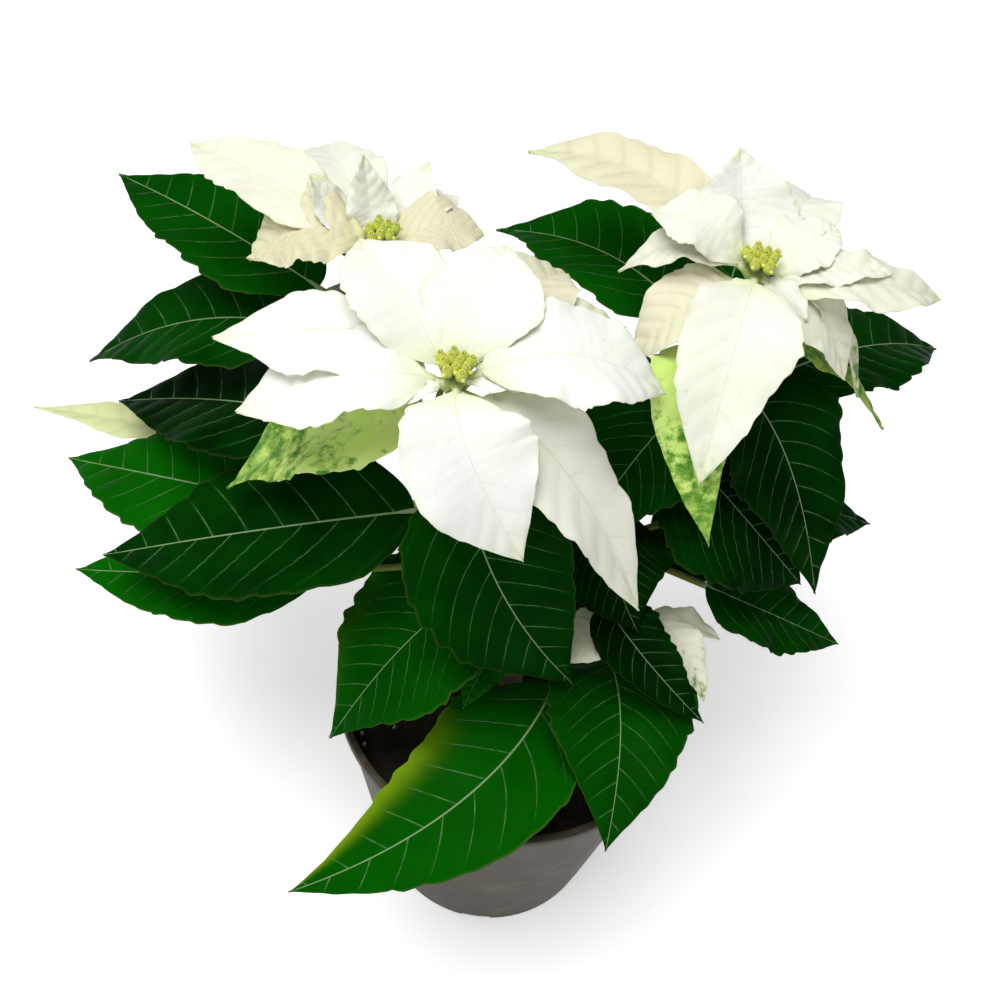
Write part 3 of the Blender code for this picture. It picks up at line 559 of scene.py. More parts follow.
def bract_material(name, pale, shaded, lean_to_green):
    """A pale bract: greener at its base, tip and margins, with painted shade in its vein creases and on its
    underside, and green spots on some.
    """
    material, wiring, shader, coords = new_material(name)
    along, _, out, near, mid, side = vein_lines(wiring, BRACT_FORM.veins, BRACT_FORM.lean)
    shade, below, greened = stored(wiring, "look")
    patches = wiring.noise(coords, 60.0)
    blotch = wiring.noise(coords, 170.0, 5.0, 0.68)
    # Painted shade in part: the dull cream that shade leans to is partly the bract's own cream, partly
    # painted shade for bracts in shadow
    colour = wiring.mix(shade, pale, shaded)
    colour = wiring.mix(wiring.remap(along, 0.0, 0.28, 0.45, 0.0), colour, BRACT_BASE)
    dull = wiring.math("MULTIPLY", wiring.remap(patches, 0.40, 0.75), 0.22)
    colour = wiring.mix(dull, colour, BRACT_PATCH)
    # Painted shade: a bract's underside turns a duller cream
    colour = wiring.mix(wiring.math("MULTIPLY", below, 0.35), colour, BRACT_UNDERSIDE_SHADE)
    edge = wiring.remap(out, 0.92, 1.0, 0.0, 0.35)
    edge = wiring.math("MAXIMUM", edge, wiring.remap(along, 0.84, 1.0, 0.0, 0.5))
    colour = wiring.mix(edge, colour, BRACT_EDGE)
    colour = wiring.mix(wiring.math("MULTIPLY", side, 0.16), colour, BRACT_VEIN)
    # Painted shade: brownish darkening in the creases along the side veins, stronger on bracts that lie in
    # shadow
    crease_shade_strength = wiring.remap(shade, 0.35, 1.0, 0.0, 0.30)
    crease_shade = wiring.math("MULTIPLY", wiring.remap(near, 0.0, 0.22, 1.0, 0.0), crease_shade_strength)
    crease_shade = wiring.math("MULTIPLY", crease_shade, wiring.remap(out, 0.75, 1.0, 1.0, 0.2))
    colour = wiring.mix(crease_shade, colour, BRACT_CREASE_SHADE)
    colour = wiring.mix(wiring.math("MULTIPLY", mid, 0.45), colour, BRACT_MIDRIB)
    level = wiring.math("MULTIPLY_ADD", along, 0.5, wiring.math("MULTIPLY", greened, 0.6))
    level = wiring.math("ADD", level, wiring.math("MULTIPLY", near, -0.25))
    spots = wiring.remap(wiring.math("ADD", level, blotch), 0.92, 1.14)
    spots = wiring.math("MULTIPLY", spots, wiring.remap(greened, 0.02, 0.10))
    green = wiring.mix(wiring.remap(blotch, 0.42, 0.62), SPOT_LIGHT, SPOT_DEEP)
    colour = wiring.mix(wiring.math("MULTIPLY", spots, lean_to_green), colour, green)
    bare = wiring.remap(along, -0.04, 0.0, 1.0, 0.0)
    wiring.feed(shader.inputs["Base Color"], wiring.mix(bare, colour, BRACT_FOOT))
    wiring.feed(shader.inputs["Roughness"], wiring.remap(patches, 0.3, 0.7, 0.50, 0.64, "LINEAR"))
    shader.inputs["Specular IOR Level"].default_value = 0.22
    shader.inputs["Subsurface Weight"].default_value = 0.10
    shader.inputs["Subsurface Radius"].default_value = (1.0, 0.9, 0.6)
    shader.inputs["Subsurface Scale"].default_value = 0.002
    net = wiring.math("MULTIPLY", cell_distance(wiring, coords, 520.0), 0.5)
    bump(wiring, shader, wiring.math("SUBTRACT", net, side), 0.20, 0.0004)
    return material


def stem_material():
    """Green young wood above, turning to grey-brown bark at the soil."""
    material, wiring, shader, coords = new_material("stem bark")
    height = wiring.split(coords)[2]
    patches = wiring.noise(coords, 160.0, 5.0)
    age = wiring.remap(height, 0.118, 0.165, 1.0, 0.0)
    age = wiring.math("ADD", age, wiring.math("MULTIPLY_ADD", patches, 0.7, -0.35), clamp=True)
    young = wiring.mix(patches, *YOUNG_WOOD)
    wood = wiring.mix(patches, *OLD_WOOD)
    wiring.feed(shader.inputs["Base Color"], wiring.mix(age, young, wood))
    shader.inputs["Roughness"].default_value = 0.62
    bump(wiring, shader, wiring.noise(coords, 420.0, 5.0), 0.5, 0.0008)
    return material


def pot_material():
    """Satin moulded plastic, taupe brown, with faint flow marks, dust and scuffs, and a painted contact
    shadow at its foot.
    """
    material, wiring, shader, coords = new_material("moulded plastic")
    x, y, z = wiring.split(coords)
    marks = wiring.noise(wiring.join(x, y, wiring.math("MULTIPLY", z, 0.12)), 90.0, 4.0)
    dust = wiring.noise(coords, 30.0, 6.0, 0.7)
    colour = wiring.mix(marks, *POT_COLOURS)
    colour = wiring.mix(wiring.remap(dust, 0.48, 0.74, 0.0, 0.55), colour, POT_DUST)
    # Painted contact shadow: the pot turns near black over its lowest few millimetres
    colour = wiring.mix(wiring.remap(z, 0.0005, 0.006, 0.85, 0.0), colour, POT_FOOT_CONTACT_SHADOW)
    wiring.feed(shader.inputs["Base Color"], colour)
    wiring.feed(shader.inputs["Roughness"], wiring.remap(dust, 0.3, 0.8, 0.38, 0.58, "LINEAR"))
    shader.inputs["Specular IOR Level"].default_value = 0.12
    bump(wiring, shader, wiring.noise(coords, 700.0, 2.0), 0.12, 0.0003)
    return material


def soil_material():
    """Dark crumbling soil."""
    material, wiring, shader, coords = new_material("potting soil")
    grains = wiring.noise(coords, 420.0, 6.0, 0.7)
    wiring.feed(shader.inputs["Base Color"], wiring.mix(grains, *SOIL_COLOURS))
    shader.inputs["Roughness"].default_value = 0.95
    bump(wiring, shader, grains, 0.9, 0.002)
    return material


def perlite_material():
    """Chalky white grains."""
    material, wiring, shader, coords = new_material("perlite")
    grains = wiring.noise(coords, 900.0, 4.0)
    wiring.feed(shader.inputs["Base Color"], wiring.mix(grains, *PERLITE_COLOURS))
    shader.inputs["Roughness"].default_value = 0.9
    bump(wiring, shader, grains, 0.5, 0.0006)
    return material


def bud_material():
    """Yellow-green buds that turn yellow at the open mouth, with painted shade low on them and on the dome
    between them.
    """
    material, wiring, shader, coords = new_material("cyathia")
    height = wiring.node("ShaderNodeAttribute", attribute_name="rise").outputs["Fac"]
    patches = wiring.noise(coords, 700.0, 3.0)
    # Painted shade: the low part of each bud and the dome between the buds are near black
    colour = wiring.mix(wiring.remap(height, 0.0, 0.75), BUD_PAINTED_SHADE, BUD_GREEN)
    colour = wiring.mix(wiring.remap(height, 0.80, 1.0), colour, BUD_MOUTH)
    colour = wiring.mix(wiring.math("MULTIPLY", patches, 0.35), colour, BUD_PATCH)
    wiring.feed(shader.inputs["Base Color"], colour)
    shader.inputs["Roughness"].default_value = 0.42
    bump(wiring, shader, patches, 0.25, 0.0003)
    return material


def floor_material():
    """A pale floor that glows a little, so that the plant's shadow on it stays soft."""
    material, _, shader, _ = new_material("pale floor")
    shader.inputs["Base Color"].default_value = FLOOR_COLOUR
    shader.inputs["Emission Color"].default_value = WHITE
    shader.inputs["Emission Strength"].default_value = FLOOR_GLOW
    shader.inputs["Roughness"].default_value = 0.75
    return material


def bake_modifiers(obj):
    """Turns the object's modifiers into its own mesh and removes them."""
    graph = bpy.context.evaluated_depsgraph_get()
    mesh = bpy.data.meshes.new_from_object(obj.evaluated_get(graph))
    obj.modifiers.clear()
    obj.data = mesh
    return obj


def geometry_tree(name, inputs):
    """A geometry tree with named inputs, its wiring, its input node and its output node."""
    tree = bpy.data.node_groups.new(name, "GeometryNodeTree")
    tree.interface.new_socket("Geometry", in_out="INPUT", socket_type="NodeSocketGeometry")
    for label, kind in inputs:
        tree.interface.new_socket(label, in_out="INPUT", socket_type="NodeSocket" + kind)
    tree.interface.new_socket("Geometry", in_out="OUTPUT", socket_type="NodeSocketGeometry")
    wiring = Wiring(tree)
    return tree, wiring, wiring.node("NodeGroupInput").outputs, wiring.node("NodeGroupOutput")


def finish_tree(wiring, geometry, material, last):
    """Ends a tree with plain geometry in one material."""
    whole = wiring.node("GeometryNodeRealizeInstances", {"Geometry": geometry})
    sockets = {"Geometry": whole.outputs[0], "Material": material}
    painted = wiring.node("GeometryNodeSetMaterial", sockets)
    wiring.feed(last.inputs[0], painted.outputs[0])


def grow(obj, tree, values):
    """Runs the tree on the object with these inputs and keeps the result as its plain mesh."""
    modifier = obj.modifiers.new(tree.name, "NODES")
    modifier.node_group = tree
    sockets = {item.name: item.identifier for item in tree.interface.items_tree if item.in_out == "INPUT"}
    for label, value in values.items():
        modifier[sockets[label]] = value
    return bake_modifiers(obj)


def vein_relief_tree():
    """Puffs a blade up between its side veins, along the lift stored at each point, in an even thickness."""
    inputs = (("Veins", "Float"), ("Lean", "Float"), ("Height", "Float"), ("Material", "Material"))
    tree, wiring, given, last = geometry_tree("vein relief", inputs)
    place, lift = (
        wiring.node("GeometryNodeInputNamedAttribute", {"Name": name}, data_type="FLOAT_VECTOR")
        for name in ("place", "lift")
    )
    along, across, lateral = wiring.split(place.outputs["Attribute"])
    out = wiring.math("ABSOLUTE", across)
    _, turn = vein_turn(wiring, along, across, lateral, given["Veins"], given["Lean"])
    wave = wiring.math("ABSOLUTE", wiring.math("SINE", wiring.math("MULTIPLY", turn, math.pi)))
    inner = wiring.remap(out, 0.0, RELIEF_INNER)
    outer = wiring.remap(out, RELIEF_OUTER, 1.0, 1.0, RELIEF_AT_MARGIN)
    height = wiring.math("MULTIPLY", wiring.math("POWER", wave, RELIEF_ROUND), inner)
    height = wiring.math("MULTIPLY", wiring.math("MULTIPLY", height, outer), given["Height"])
    sockets = {0: lift.outputs["Attribute"], "Scale": height}
    move = wiring.node("ShaderNodeVectorMath", sockets, operation="SCALE")
    sockets = {"Geometry": given["Geometry"], "Offset": move.outputs[0]}
    moved = wiring.node("GeometryNodeSetPosition", sockets)
    smooth = wiring.node("GeometryNodeSetShadeSmooth", {"Geometry": moved.outputs[0]})
    finish_tree(wiring, smooth.outputs[0], given["Material"], last)
    return tree


def scatter_tree():
    """Scatters turned and scaled copies of a grain over the upward faces of a surface."""
    inputs = (
        ("Grain", "Object"), ("Density", "Float"), ("Smallest", "Float"), ("Largest", "Float"),
        ("Seed", "Int"), ("Material", "Material"),
    )
    tree, wiring, given, last = geometry_tree("grain scatter", inputs)
    facing = wiring.split(wiring.node("GeometryNodeInputNormal").outputs[0])[2]
    upward = wiring.node(
        "FunctionNodeCompare", {0: facing, 1: FACING_UP}, data_type="FLOAT", operation="GREATER_THAN"
    )
    spread = wiring.node(
        "GeometryNodeDistributePointsOnFaces",
        {"Mesh": given["Geometry"], "Selection": upward.outputs[0],
         "Density": given["Density"], "Seed": given["Seed"]},
    )
    turns = {"Max": (GRAIN_TURN, GRAIN_TURN, GRAIN_TURN), "Seed": given["Seed"]}
    turn = wiring.node("FunctionNodeRandomValue", turns, data_type="FLOAT_VECTOR")
    size = wiring.node("FunctionNodeRandomValue", data_type="FLOAT")
    wiring.feed(size.inputs[2], given["Smallest"])
    wiring.feed(size.inputs[3], given["Largest"])
    grain = wiring.node("GeometryNodeObjectInfo", {"Object": given["Grain"]})
    copies = wiring.node(
        "GeometryNodeInstanceOnPoints",
        {"Points": spread.outputs["Points"], "Instance": grain.outputs["Geometry"],
         "Rotation": turn.outputs[0], "Scale": size.outputs[1]},
    )
    finish_tree(wiring, copies.outputs[0], given["Material"], last)
    return tree


def cluster_tree():
    """Sets buds out in a sunflower spiral over a low dome, each leaning outwards."""
    inputs = (
        ("Bud", "Object"), ("Count", "Int"), ("Reach", "Float"), ("Centre", "Vector"),
        ("Lean", "Float"), ("Material", "Material"),
    )
    tree, wiring, given, last = geometry_tree("bud cluster", inputs)
    line = wiring.node("GeometryNodeMeshLine", {"Count": given["Count"]})
    index = wiring.node("GeometryNodeInputIndex").outputs[0]
    share = wiring.math("DIVIDE", wiring.math("ADD", index, BUD_START), given["Count"])
    reach = wiring.math("MULTIPLY", wiring.math("SQRT", share), given["Reach"])
    turn = wiring.math("MULTIPLY", index, GOLDEN_TURN)
    x = wiring.math("MULTIPLY", reach, wiring.math("COSINE", turn))
    y = wiring.math("MULTIPLY", reach, wiring.math("SINE", turn))
    spot = wiring.join(x, y, wiring.math("MULTIPLY", reach, BUD_DOME))
    place = wiring.node("ShaderNodeVectorMath", {0: spot, 1: given["Centre"]}, operation="ADD")
    sockets = {"Geometry": line.outputs[0], "Position": place.outputs[0]}
    spots = wiring.node("GeometryNodeSetPosition", sockets)
    tilt = wiring.join(0.0, wiring.math("MULTIPLY", reach, given["Lean"]), turn)
    bud = wiring.node("GeometryNodeObjectInfo", {"Object": given["Bud"]})
    sockets = {"Points": spots.outputs[0], "Instance": bud.outputs["Geometry"], "Rotation": tilt}
    copies = wiring.node("GeometryNodeInstanceOnPoints", sockets)
    whole = wiring.node("GeometryNodeRealizeInstances", {"Geometry": copies.outputs[0]})
    joined = wiring.node("GeometryNodeJoinGeometry")
    wiring.feed(joined.inputs[0], whole.outputs[0])
    wiring.feed(joined.inputs[0], given["Geometry"])
    finish_tree(wiring, joined.outputs[0], given["Material"], last)
    return tree


def plain_mesh(shape, name):
    """Turns a bmesh into a named mesh and frees it."""
    mesh = bpy.data.meshes.new(name)
    shape.to_mesh(mesh)
    shape.free()
    return mesh


def join_meshes(mesh, others):
    """Adds the others to the mesh, welds points that meet and turns every face outwards."""
    whole = bmesh.new()
    for part in (mesh, *others):
        whole.from_mesh(part)
    bmesh.ops.remove_doubles(whole, verts=whole.verts, dist=WELD * MM)
    bmesh.ops.recalc_face_normals(whole, faces=whole.faces)
    whole.to_mesh(mesh)
    whole.free()


def add_object(name, mesh):
    obj = bpy.data.objects.new(name, mesh)
    bpy.context.scene.collection.objects.link(obj)
    return obj


def dress(obj, material):
    """Gives the object one material."""
    obj.data.materials.clear()
    obj.data.materials.append(material)


def keep(obj, slot, *nodes):
    """The piece rides on the plant's one body and stands for CAD nodes, which it hides. Its slot is not
    used.
    """
    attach(obj, BODY)
    if nodes:
        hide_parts(*nodes)


def branch_line(branch):
    """The branch's centre line: a bend from the fork over the knee, then a short upright collar."""
    knee, top, neck, _ = BRANCHES[branch]
    top = Vector(top)
    below = top - Vector((0, 0, neck))
    line = []
    for index in range(BRANCH_POINTS):
        share = BEND_END * index / (BRANCH_POINTS - 1)
        rest = 1 - share
        lower = Vector(TRUNK_FORK) * rest**3 + Vector(knee) * 3 * rest * rest * share
        line.append(lower + below * 3 * rest * share * share + top * share**3)
    return line + [top - Vector((0, 0, COLLAR)), top]


def branch_place(branch, share):
    """The point of the branch at a share of its bend, and the direction it runs in there."""
    line = branch_line(branch)
    place = share * (BRANCH_POINTS - 1)
    start = min(int(place), BRANCH_POINTS - 2)
    run = line[start + 1] - line[start]
    return line[start] + run * (place - start), run.normalized()


def branch_radius(branch, share):
    """The branch's radius, which tapers towards its bloom."""
    return BRANCHES[branch][3] * (BRANCH_SWELL - BRANCH_TAPER * share)


def outline(share, form):
    """Half width of a blade at a share of its length, as a part of its greatest."""
    widest = form.rise / (form.rise + form.fall)
    peak = widest**form.rise * (1 - widest) ** form.fall
    return share**form.rise * (1 - share) ** form.fall / peak


class BladeShape:
    """The points, frames and outline of one blade, as in the solid model but finer."""

    def __init__(self, name, root, tip, blade, form, heading=None):
        self.root = np.array(root)
        self.chord = np.array(tip, float) - self.root
        self.flat = np.array((self.chord[1], -self.chord[0], 0))
        self.flat /= np.linalg.norm(self.flat)
        self.blade = blade
        self.form = form
        self.heading = None if heading is None else np.array(heading)
        self.phase = len(name)
        random = np.random.default_rng(SEED + sum(map(ord, name)))
        self.heights = TOOTH_LEAST + TOOTH_SPREAD * random.uniform(0, 1, (2, TEETH + 1)) ** 2
        self.swell = random.uniform(0, 2 * math.pi, (2, len(SWELL_BEATS)))

    def midrib(self, share):
        share = np.asarray(share, float)[..., None]
        bow = 4 * share * (1 - share)
        rise = np.array((0, 0, self.blade.arch))
        return self.chord * share + rise * bow + self.flat * self.blade.sweep * bow

    def frames(self, share):
        """Side, lift and run vectors at each share of the midrib."""
        ahead = self.midrib(np.minimum(share + TANGENT_STEP, 1))
        run = ahead - self.midrib(np.maximum(share - TANGENT_STEP, 0))
        run /= np.linalg.norm(run, axis=-1, keepdims=True)
        side = self.flat - run * (run @ self.flat)[..., None]
        side /= np.linalg.norm(side, axis=-1, keepdims=True)
        lift = np.cross(side, run)
        turned_share = np.minimum(1, np.maximum(share, 0) / max(self.blade.stalk, TURN_FULL))
        turn = (np.radians(self.blade.roll) * turned_share)[..., None]
        return side * np.cos(turn) + lift * np.sin(turn), lift * np.cos(turn) - side * np.sin(turn), run

    def teeth(self, along, across):
        """Uneven pointed teeth of the margin, unlike on the two sides, faded out at base and tip."""
        place = along * TEETH + np.where(across > 0, TOOTH_SHIFT, 0)
        cell = np.minimum(place.astype(int), TEETH)
        height = self.heights[(across > 0) * 1, cell]
        rise = place - cell
        tooth = np.where(rise < TOOTH_PEAK, rise / TOOTH_PEAK, (1 - rise) / (1 - TOOTH_PEAK)) - 0.5
        span = np.clip(along * TOOTHED_SPAN + TOOTHED_START, 0, 1)
        middle = np.sin(np.pi * span) ** TOOTHED_FADE
        phase = self.swell[(across > 0) * 1]
        swell = sum(np.sin(beat * along + phase[..., i]) / (i + 1) for i, beat in enumerate(SWELL_BEATS))
        out = np.abs(across) ** 2
        return 1 + middle * out * (self.form.tooth * height * tooth + self.form.swell * swell)


def blade_surface(shape):
    """The blade as a closed thin shell: points, quads, place along and across, lift and under side."""
    blade, form = shape.blade, shape.form
    along = np.linspace(0, 1, form.along)
    across = np.sin(np.linspace(-1, 1, form.across) * math.pi / 2 * ACROSS_SPAN)
    across /= math.sin(math.pi / 2 * ACROSS_SPAN)
    side, lift, _ = shape.frames(blade.stalk + (1 - blade.stalk) * along)
    width = outline(along, form)
    grid_a, grid_v = np.meshgrid(along, across, indexing="ij")
    half = np.maximum(blade.width / 2 * width[:, None] * shape.teeth(grid_a, grid_v), LEAST_HALF)
    out = np.abs(grid_v)
    steep = math.tan(math.radians(blade.fold)) * np.minimum(1, grid_a / FOLD_FULL)
    ripple = np.sin(2 * math.pi * (RIPPLES * grid_a + np.where(grid_v > 0, RIPPLE_SHIFT, 0)) + shape.phase)
    frill = np.sin(2 * math.pi * (FRILLS * grid_a + np.where(grid_v > 0, FRILL_SHIFT, 0)) + 2 * shape.phase)
    rise = half * (np.sqrt(out**2 + FOLD_SOFT) - FOLD_DIP) * steep
    rise += blade.wave * width[:, None] * (ripple * out**2 + FRILL_HEIGHT * frill * out**4)
    spine = shape.midrib(blade.stalk + (1 - blade.stalk) * along)
    middle = spine[:, None] + side[:, None] * (half * grid_v)[..., None] + lift[:, None] * rise[..., None]
    lifts = np.broadcast_to(lift[:, None], middle.shape)
    thick = form.thick / 2 * (1 - MARGIN_THINNING * out**3)[..., None]
    upper, lower = middle + lifts * thick, middle - lifts * thick
    points = np.concatenate([upper.reshape(-1, 3), lower.reshape(-1, 3)])
    length = np.linalg.norm(shape.chord) * (1 - blade.stalk)
    flat = np.stack([grid_a, grid_v, half * out / length], -1).reshape(-1, 3)
    place = np.concatenate([flat, flat])
    lifts = np.concatenate([lifts.reshape(-1, 3)] * 2)
    below = np.repeat((0.0, 1.0), form.along * form.across)
    return points, shell_quads(form.along, form.across), place, lifts, below


def shell_quads(rows, columns):
    """Quads of a closed shell: an upper sheet of rows by columns points, a lower one and their rim."""
    under = rows * columns
    quads = []
    for i in range(rows - 1):
        for j in range(columns - 1):
            a, b = i * columns + j, i * columns + j + 1
            c, d = a + columns, b + columns
            quads.append((a, b, d, c))
            quads.append((under + a, under + c, under + d, under + b))
    for i in range(rows - 1):
        a, b = i * columns, (i + 1) * columns
        quads.append((a, b, under + b, under + a))
        a, b = a + columns - 1, b + columns - 1
        quads.append((b, a, under + a, under + b))
    for j in range(columns - 1):
        a, b = j, j + 1
        quads.append((b, a, under + a, under + b))
        a, b = a + under - columns, b + under - columns
        quads.append((a, b, under + b, under + a))
    return quads


def stalk_surface(shape):
    """The round stalk and the midrib that it runs on into, as a closed tapering tube under the blade."""
    blade, form = shape.blade, shape.form
    share = np.concatenate([[STALK_START, 0.0], np.linspace(0, 1, form.along // 2 + 6)[1:] * RIB_END])
    side, lift, run = shape.frames(np.maximum(share, 0))
    along = (share - blade.stalk) / (1 - blade.stalk)
    spine = shape.midrib(np.maximum(share, 0))
    back = shape.heading if shape.heading is not None else run[0]
    spine[0] = spine[1] - back * STALK_SINK
    slim = 1 - np.clip(along, 0, 1)
    radius = STALK_RADIUS * np.where(along < 0, 1, RIB_LEAST + (1 - RIB_LEAST) * slim**RIB_TAPER)
    radius *= 1 + STALK_FLARE * np.clip(1 - share / STALK_FLARE_END, 0, 1)
    sink = np.clip(along * RIB_SINK_RATE, 0, 1) * radius
    turns = np.arange(STALK_SIDES) * 2 * math.pi / STALK_SIDES
    ring = side[:, None] * np.cos(turns)[None, :, None] + lift[:, None] * np.sin(turns)[None, :, None]
    points = (spine - lift * sink[:, None])[:, None] + ring * radius[:, None, None]
    count = len(share)
    quads = []
    for i in range(count - 1):
        for j in range(STALK_SIDES):
            k = (j + 1) % STALK_SIDES
            a, b = i * STALK_SIDES, (i + 1) * STALK_SIDES
            quads.append((a + j, a + k, b + k, b + j))
    last = (count - 1) * STALK_SIDES
    quads.append(tuple(range(STALK_SIDES))[::-1])
    quads.append(tuple(last + j for j in range(STALK_SIDES)))
    total = count * STALK_SIDES
    place = np.stack([np.repeat(along, STALK_SIDES), np.zeros(total), np.zeros(total)], -1)
    lifts = np.repeat(lift, STALK_SIDES, axis=0)
    return points.reshape(-1, 3), quads, place, lifts, np.zeros(total)


def blades_object(name, shapes, looks, material, relief_tree, height):
    """One object from several blades: each with its stalk, its vein relief and its own tint."""
    points, faces, place, lifts, look = [], [], [], [], []
    count = 0
    for shape, (tint, greened, pleat) in zip(shapes, looks):
        for part in (blade_surface(shape), stalk_surface(shape)):
            spots, quads, where, up, below = part
            points.append(spots + shape.root)
            faces += [tuple(count + corner for corner in quad) for quad in quads]
            place.append(where)
            lifts.append(up * pleat)
            look.append(np.stack([np.full(len(spots), tint), below, np.full(len(spots), greened)], -1))
            count += len(spots)
    mesh = bpy.data.meshes.new(name)
    mesh.from_pydata((np.concatenate(points) * MM).tolist(), [], faces)
    place = np.concatenate(place)
    for label, values in (("place", place), ("lift", np.concatenate(lifts)), ("look", np.concatenate(look))):
        layer = mesh.attributes.new(label, "FLOAT_VECTOR", "POINT")
        layer.data.foreach_set("vector", values.astype(np.float32).ravel())
    obj = add_object(name, mesh)
    form = shapes[0].form
    values = {"Veins": float(form.veins), "Lean": form.lean, "Height": height * MM, "Material": material}
    return grow(obj, relief_tree, values)


def make_leaves(materials, relief_tree):
    """Every leaf and every bract that grows on a branch as a leaf does, each as a piece of its own."""
    slots = {"leaf": "leaf_green", "cream": "bract_cream", "mottled": "bract_mottled"}
    for blade in LEAVES:
        start, run = branch_place(blade.branch, blade.share)
        away = Vector(blade.tip) - start
        away = (away - run * away.dot(run)).normalized()
        root = start + away * (branch_radius(blade.branch, blade.share) + GAP)
        form = LEAF_FORM if blade.look == "leaf" else HALF_GREEN_FORM
        shape = BladeShape(blade.name, root, blade.tip, blade, form, away)
        greened = blade.tint if blade.look == "mottled" else YELLOW_MARGINS.get(blade.name, 0.0)
        piece = blades_object(
            blade.name.replace("leaf", "fine_leaf").replace("bract", "fine_bract"),
            [shape], [(blade.tint, greened, 1.0)], materials[blade.look], relief_tree, form.relief,
        )
        keep(piece, slots[blade.look], blade.name)


def bloom_centre(bloom):
    return Vector(BRANCHES[bloom.branch][1]) + Vector((0, 0, RECEPTACLE_HEIGHT + GAP))


def make_bloom(name, bloom, materials, relief_tree):
    """All bracts of a bloom, each from its place down the receptacle."""
    centre = bloom_centre(bloom)
    drop = (RECEPTACLE_HEIGHT - 2 * SMALL_DROP + 1) / len(bloom.bracts)
    shapes = []
    looks = []
    for index, bract in enumerate(bloom.bracts):
        tip = Vector(bract.tip)
        heading = Vector((tip.x, tip.y, 0)).normalized()
        small = bract.width < SMALL_BRACT
        level = -SMALL_DROP if small else -SMALL_DROP - drop * index
        root = heading * (RECEPTACLE_RADIUS * ROOT_REACH) + Vector((0, 0, level))
        label = f"{name}_bracts_{index}"
        blade = Blade(
            label, "", 0, tip, bract.width, bract.arch, bract.sweep, bract.roll,
            bract.fold, bract.wave, BRACT_STALK, "bract", 0,
        )
        form = SMALL_FORM if small else BRACT_FORM
        shapes.append(BladeShape(label, root + centre, tip + centre, blade, form))
        looks.append((bract.shade, bract.green, bract.pleat))
    piece = blades_object(name + "_bloom", shapes, looks, materials["bract"], relief_tree, BRACT_FORM.relief)
    keep(piece, "bract_white", name + "_bracts")


def bud_mesh():
    """One cyathium: a ribbed urn with a frilled mouth, a cupped gland on its side and a few stamens."""
    shape = bmesh.new()
    rise = shape.verts.layers.float.new("rise")
    rows = []
    for height, radius in URN_RINGS:
        row = []
        for side in range(URN_SIDES):
            turn = 2 * math.pi * side / URN_SIDES
            ribbed = radius * (1 + URN_RIB_DEPTH * math.cos(URN_RIBS * turn))
            vert = shape.verts.new((ribbed * math.cos(turn), ribbed * math.sin(turn), height))
            vert[rise] = (height + URN_FOOT) / URN_HEIGHT
            row.append(vert)
        rows.append(row)
    for low, high in zip(rows, rows[1:]):
        for side in range(URN_SIDES):
            after = (side + 1) % URN_SIDES
            shape.faces.new((low[side], low[after], high[after], high[side]))
    shape.faces.new(rows[0][::-1])
    shape.faces.new(rows[-1])
    parts = [(GLAND_PLACE, GLAND_SIZE, 1.0)]
    for index in range(STAMENS):
        turn = STAMEN_START + index * STAMEN_TURN
        x, y = math.cos(turn), math.sin(turn)
        anther = ANTHER_REACH * x, ANTHER_REACH * y, ANTHER_LEVEL
        filament = FILAMENT_REACH * x, FILAMENT_REACH * y, FILAMENT_LEVEL
        parts += [(anther, ANTHER_SIZE, 1.0), (filament, FILAMENT_SIZE, FILAMENT_RISE)]
    for middle, size, level in parts:
        matrix = Matrix.Translation(middle) @ Matrix.Diagonal((*size, 1))
        made = bmesh.ops.create_icosphere(shape, subdivisions=1, radius=1, matrix=matrix)
        for vert in made["verts"]:
            vert[rise] = level
    bmesh.ops.scale(shape, vec=(MM, MM, MM), verts=shape.verts)
    bmesh.ops.recalc_face_normals(shape, faces=shape.faces)
    mesh = plain_mesh(shape, "bud")
    mesh.shade_smooth()
    return mesh


def make_cyathia(name, bloom, materials, tree, bud):
    """A low green dome with the buds on it."""
    centre = bloom_centre(bloom)
    foot = RECEPTACLE_PEAK + GAP
    bed = RECEPTACLE_RADIUS * BED_WIDTH
    shape = bmesh.new()
    bmesh.ops.create_uvsphere(shape, u_segments=BED_SIDES, v_segments=BED_RINGS, radius=1)
    bmesh.ops.scale(shape, vec=(bed, bed, BUD_BED), verts=shape.verts)
    bmesh.ops.translate(shape, vec=centre + Vector((0, 0, foot)), verts=shape.verts)
    bmesh.ops.scale(shape, vec=(MM, MM, MM), verts=shape.verts)
    mesh = plain_mesh(shape, name)
    mesh.shade_smooth()
    obj = add_object(name + "_buds", mesh)
    values = {
        "Bud": bud,
        "Count": bloom.buds + MORE_BUDS,
        "Reach": BUD_SPREAD * MM,
        "Centre": (centre + Vector((0, 0, foot + BUD_BED + BUD_LIFT))) * MM,
        "Lean": BUD_LEAN,
        "Material": materials["cyathia"],
    }
    keep(grow(obj, tree, values), "cyathia", name + "_cyathia")


def tube_mesh(points, radii, sides):
    """A closed tube through the points with rounded ends, in metres."""
    curve = bpy.data.curves.new("tube", "CURVE")
    curve.dimensions = "3D"
    curve.bevel_depth = MM
    curve.bevel_resolution = sides // 2 - 2
    curve.use_fill_caps = True
    spline = curve.splines.new("POLY")
    spline.points.add(len(points) - 1)
    for target, point, radius in zip(spline.points, points, radii):
        target.co = (*(Vector(point) * MM), 1)
        target.radius = radius
    rail = add_object("tube", curve)
    graph = bpy.context.evaluated_depsgraph_get()
    mesh = bpy.data.meshes.new_from_object(rail.evaluated_get(graph))
    bpy.data.objects.remove(rail, do_unlink=True)
    return mesh


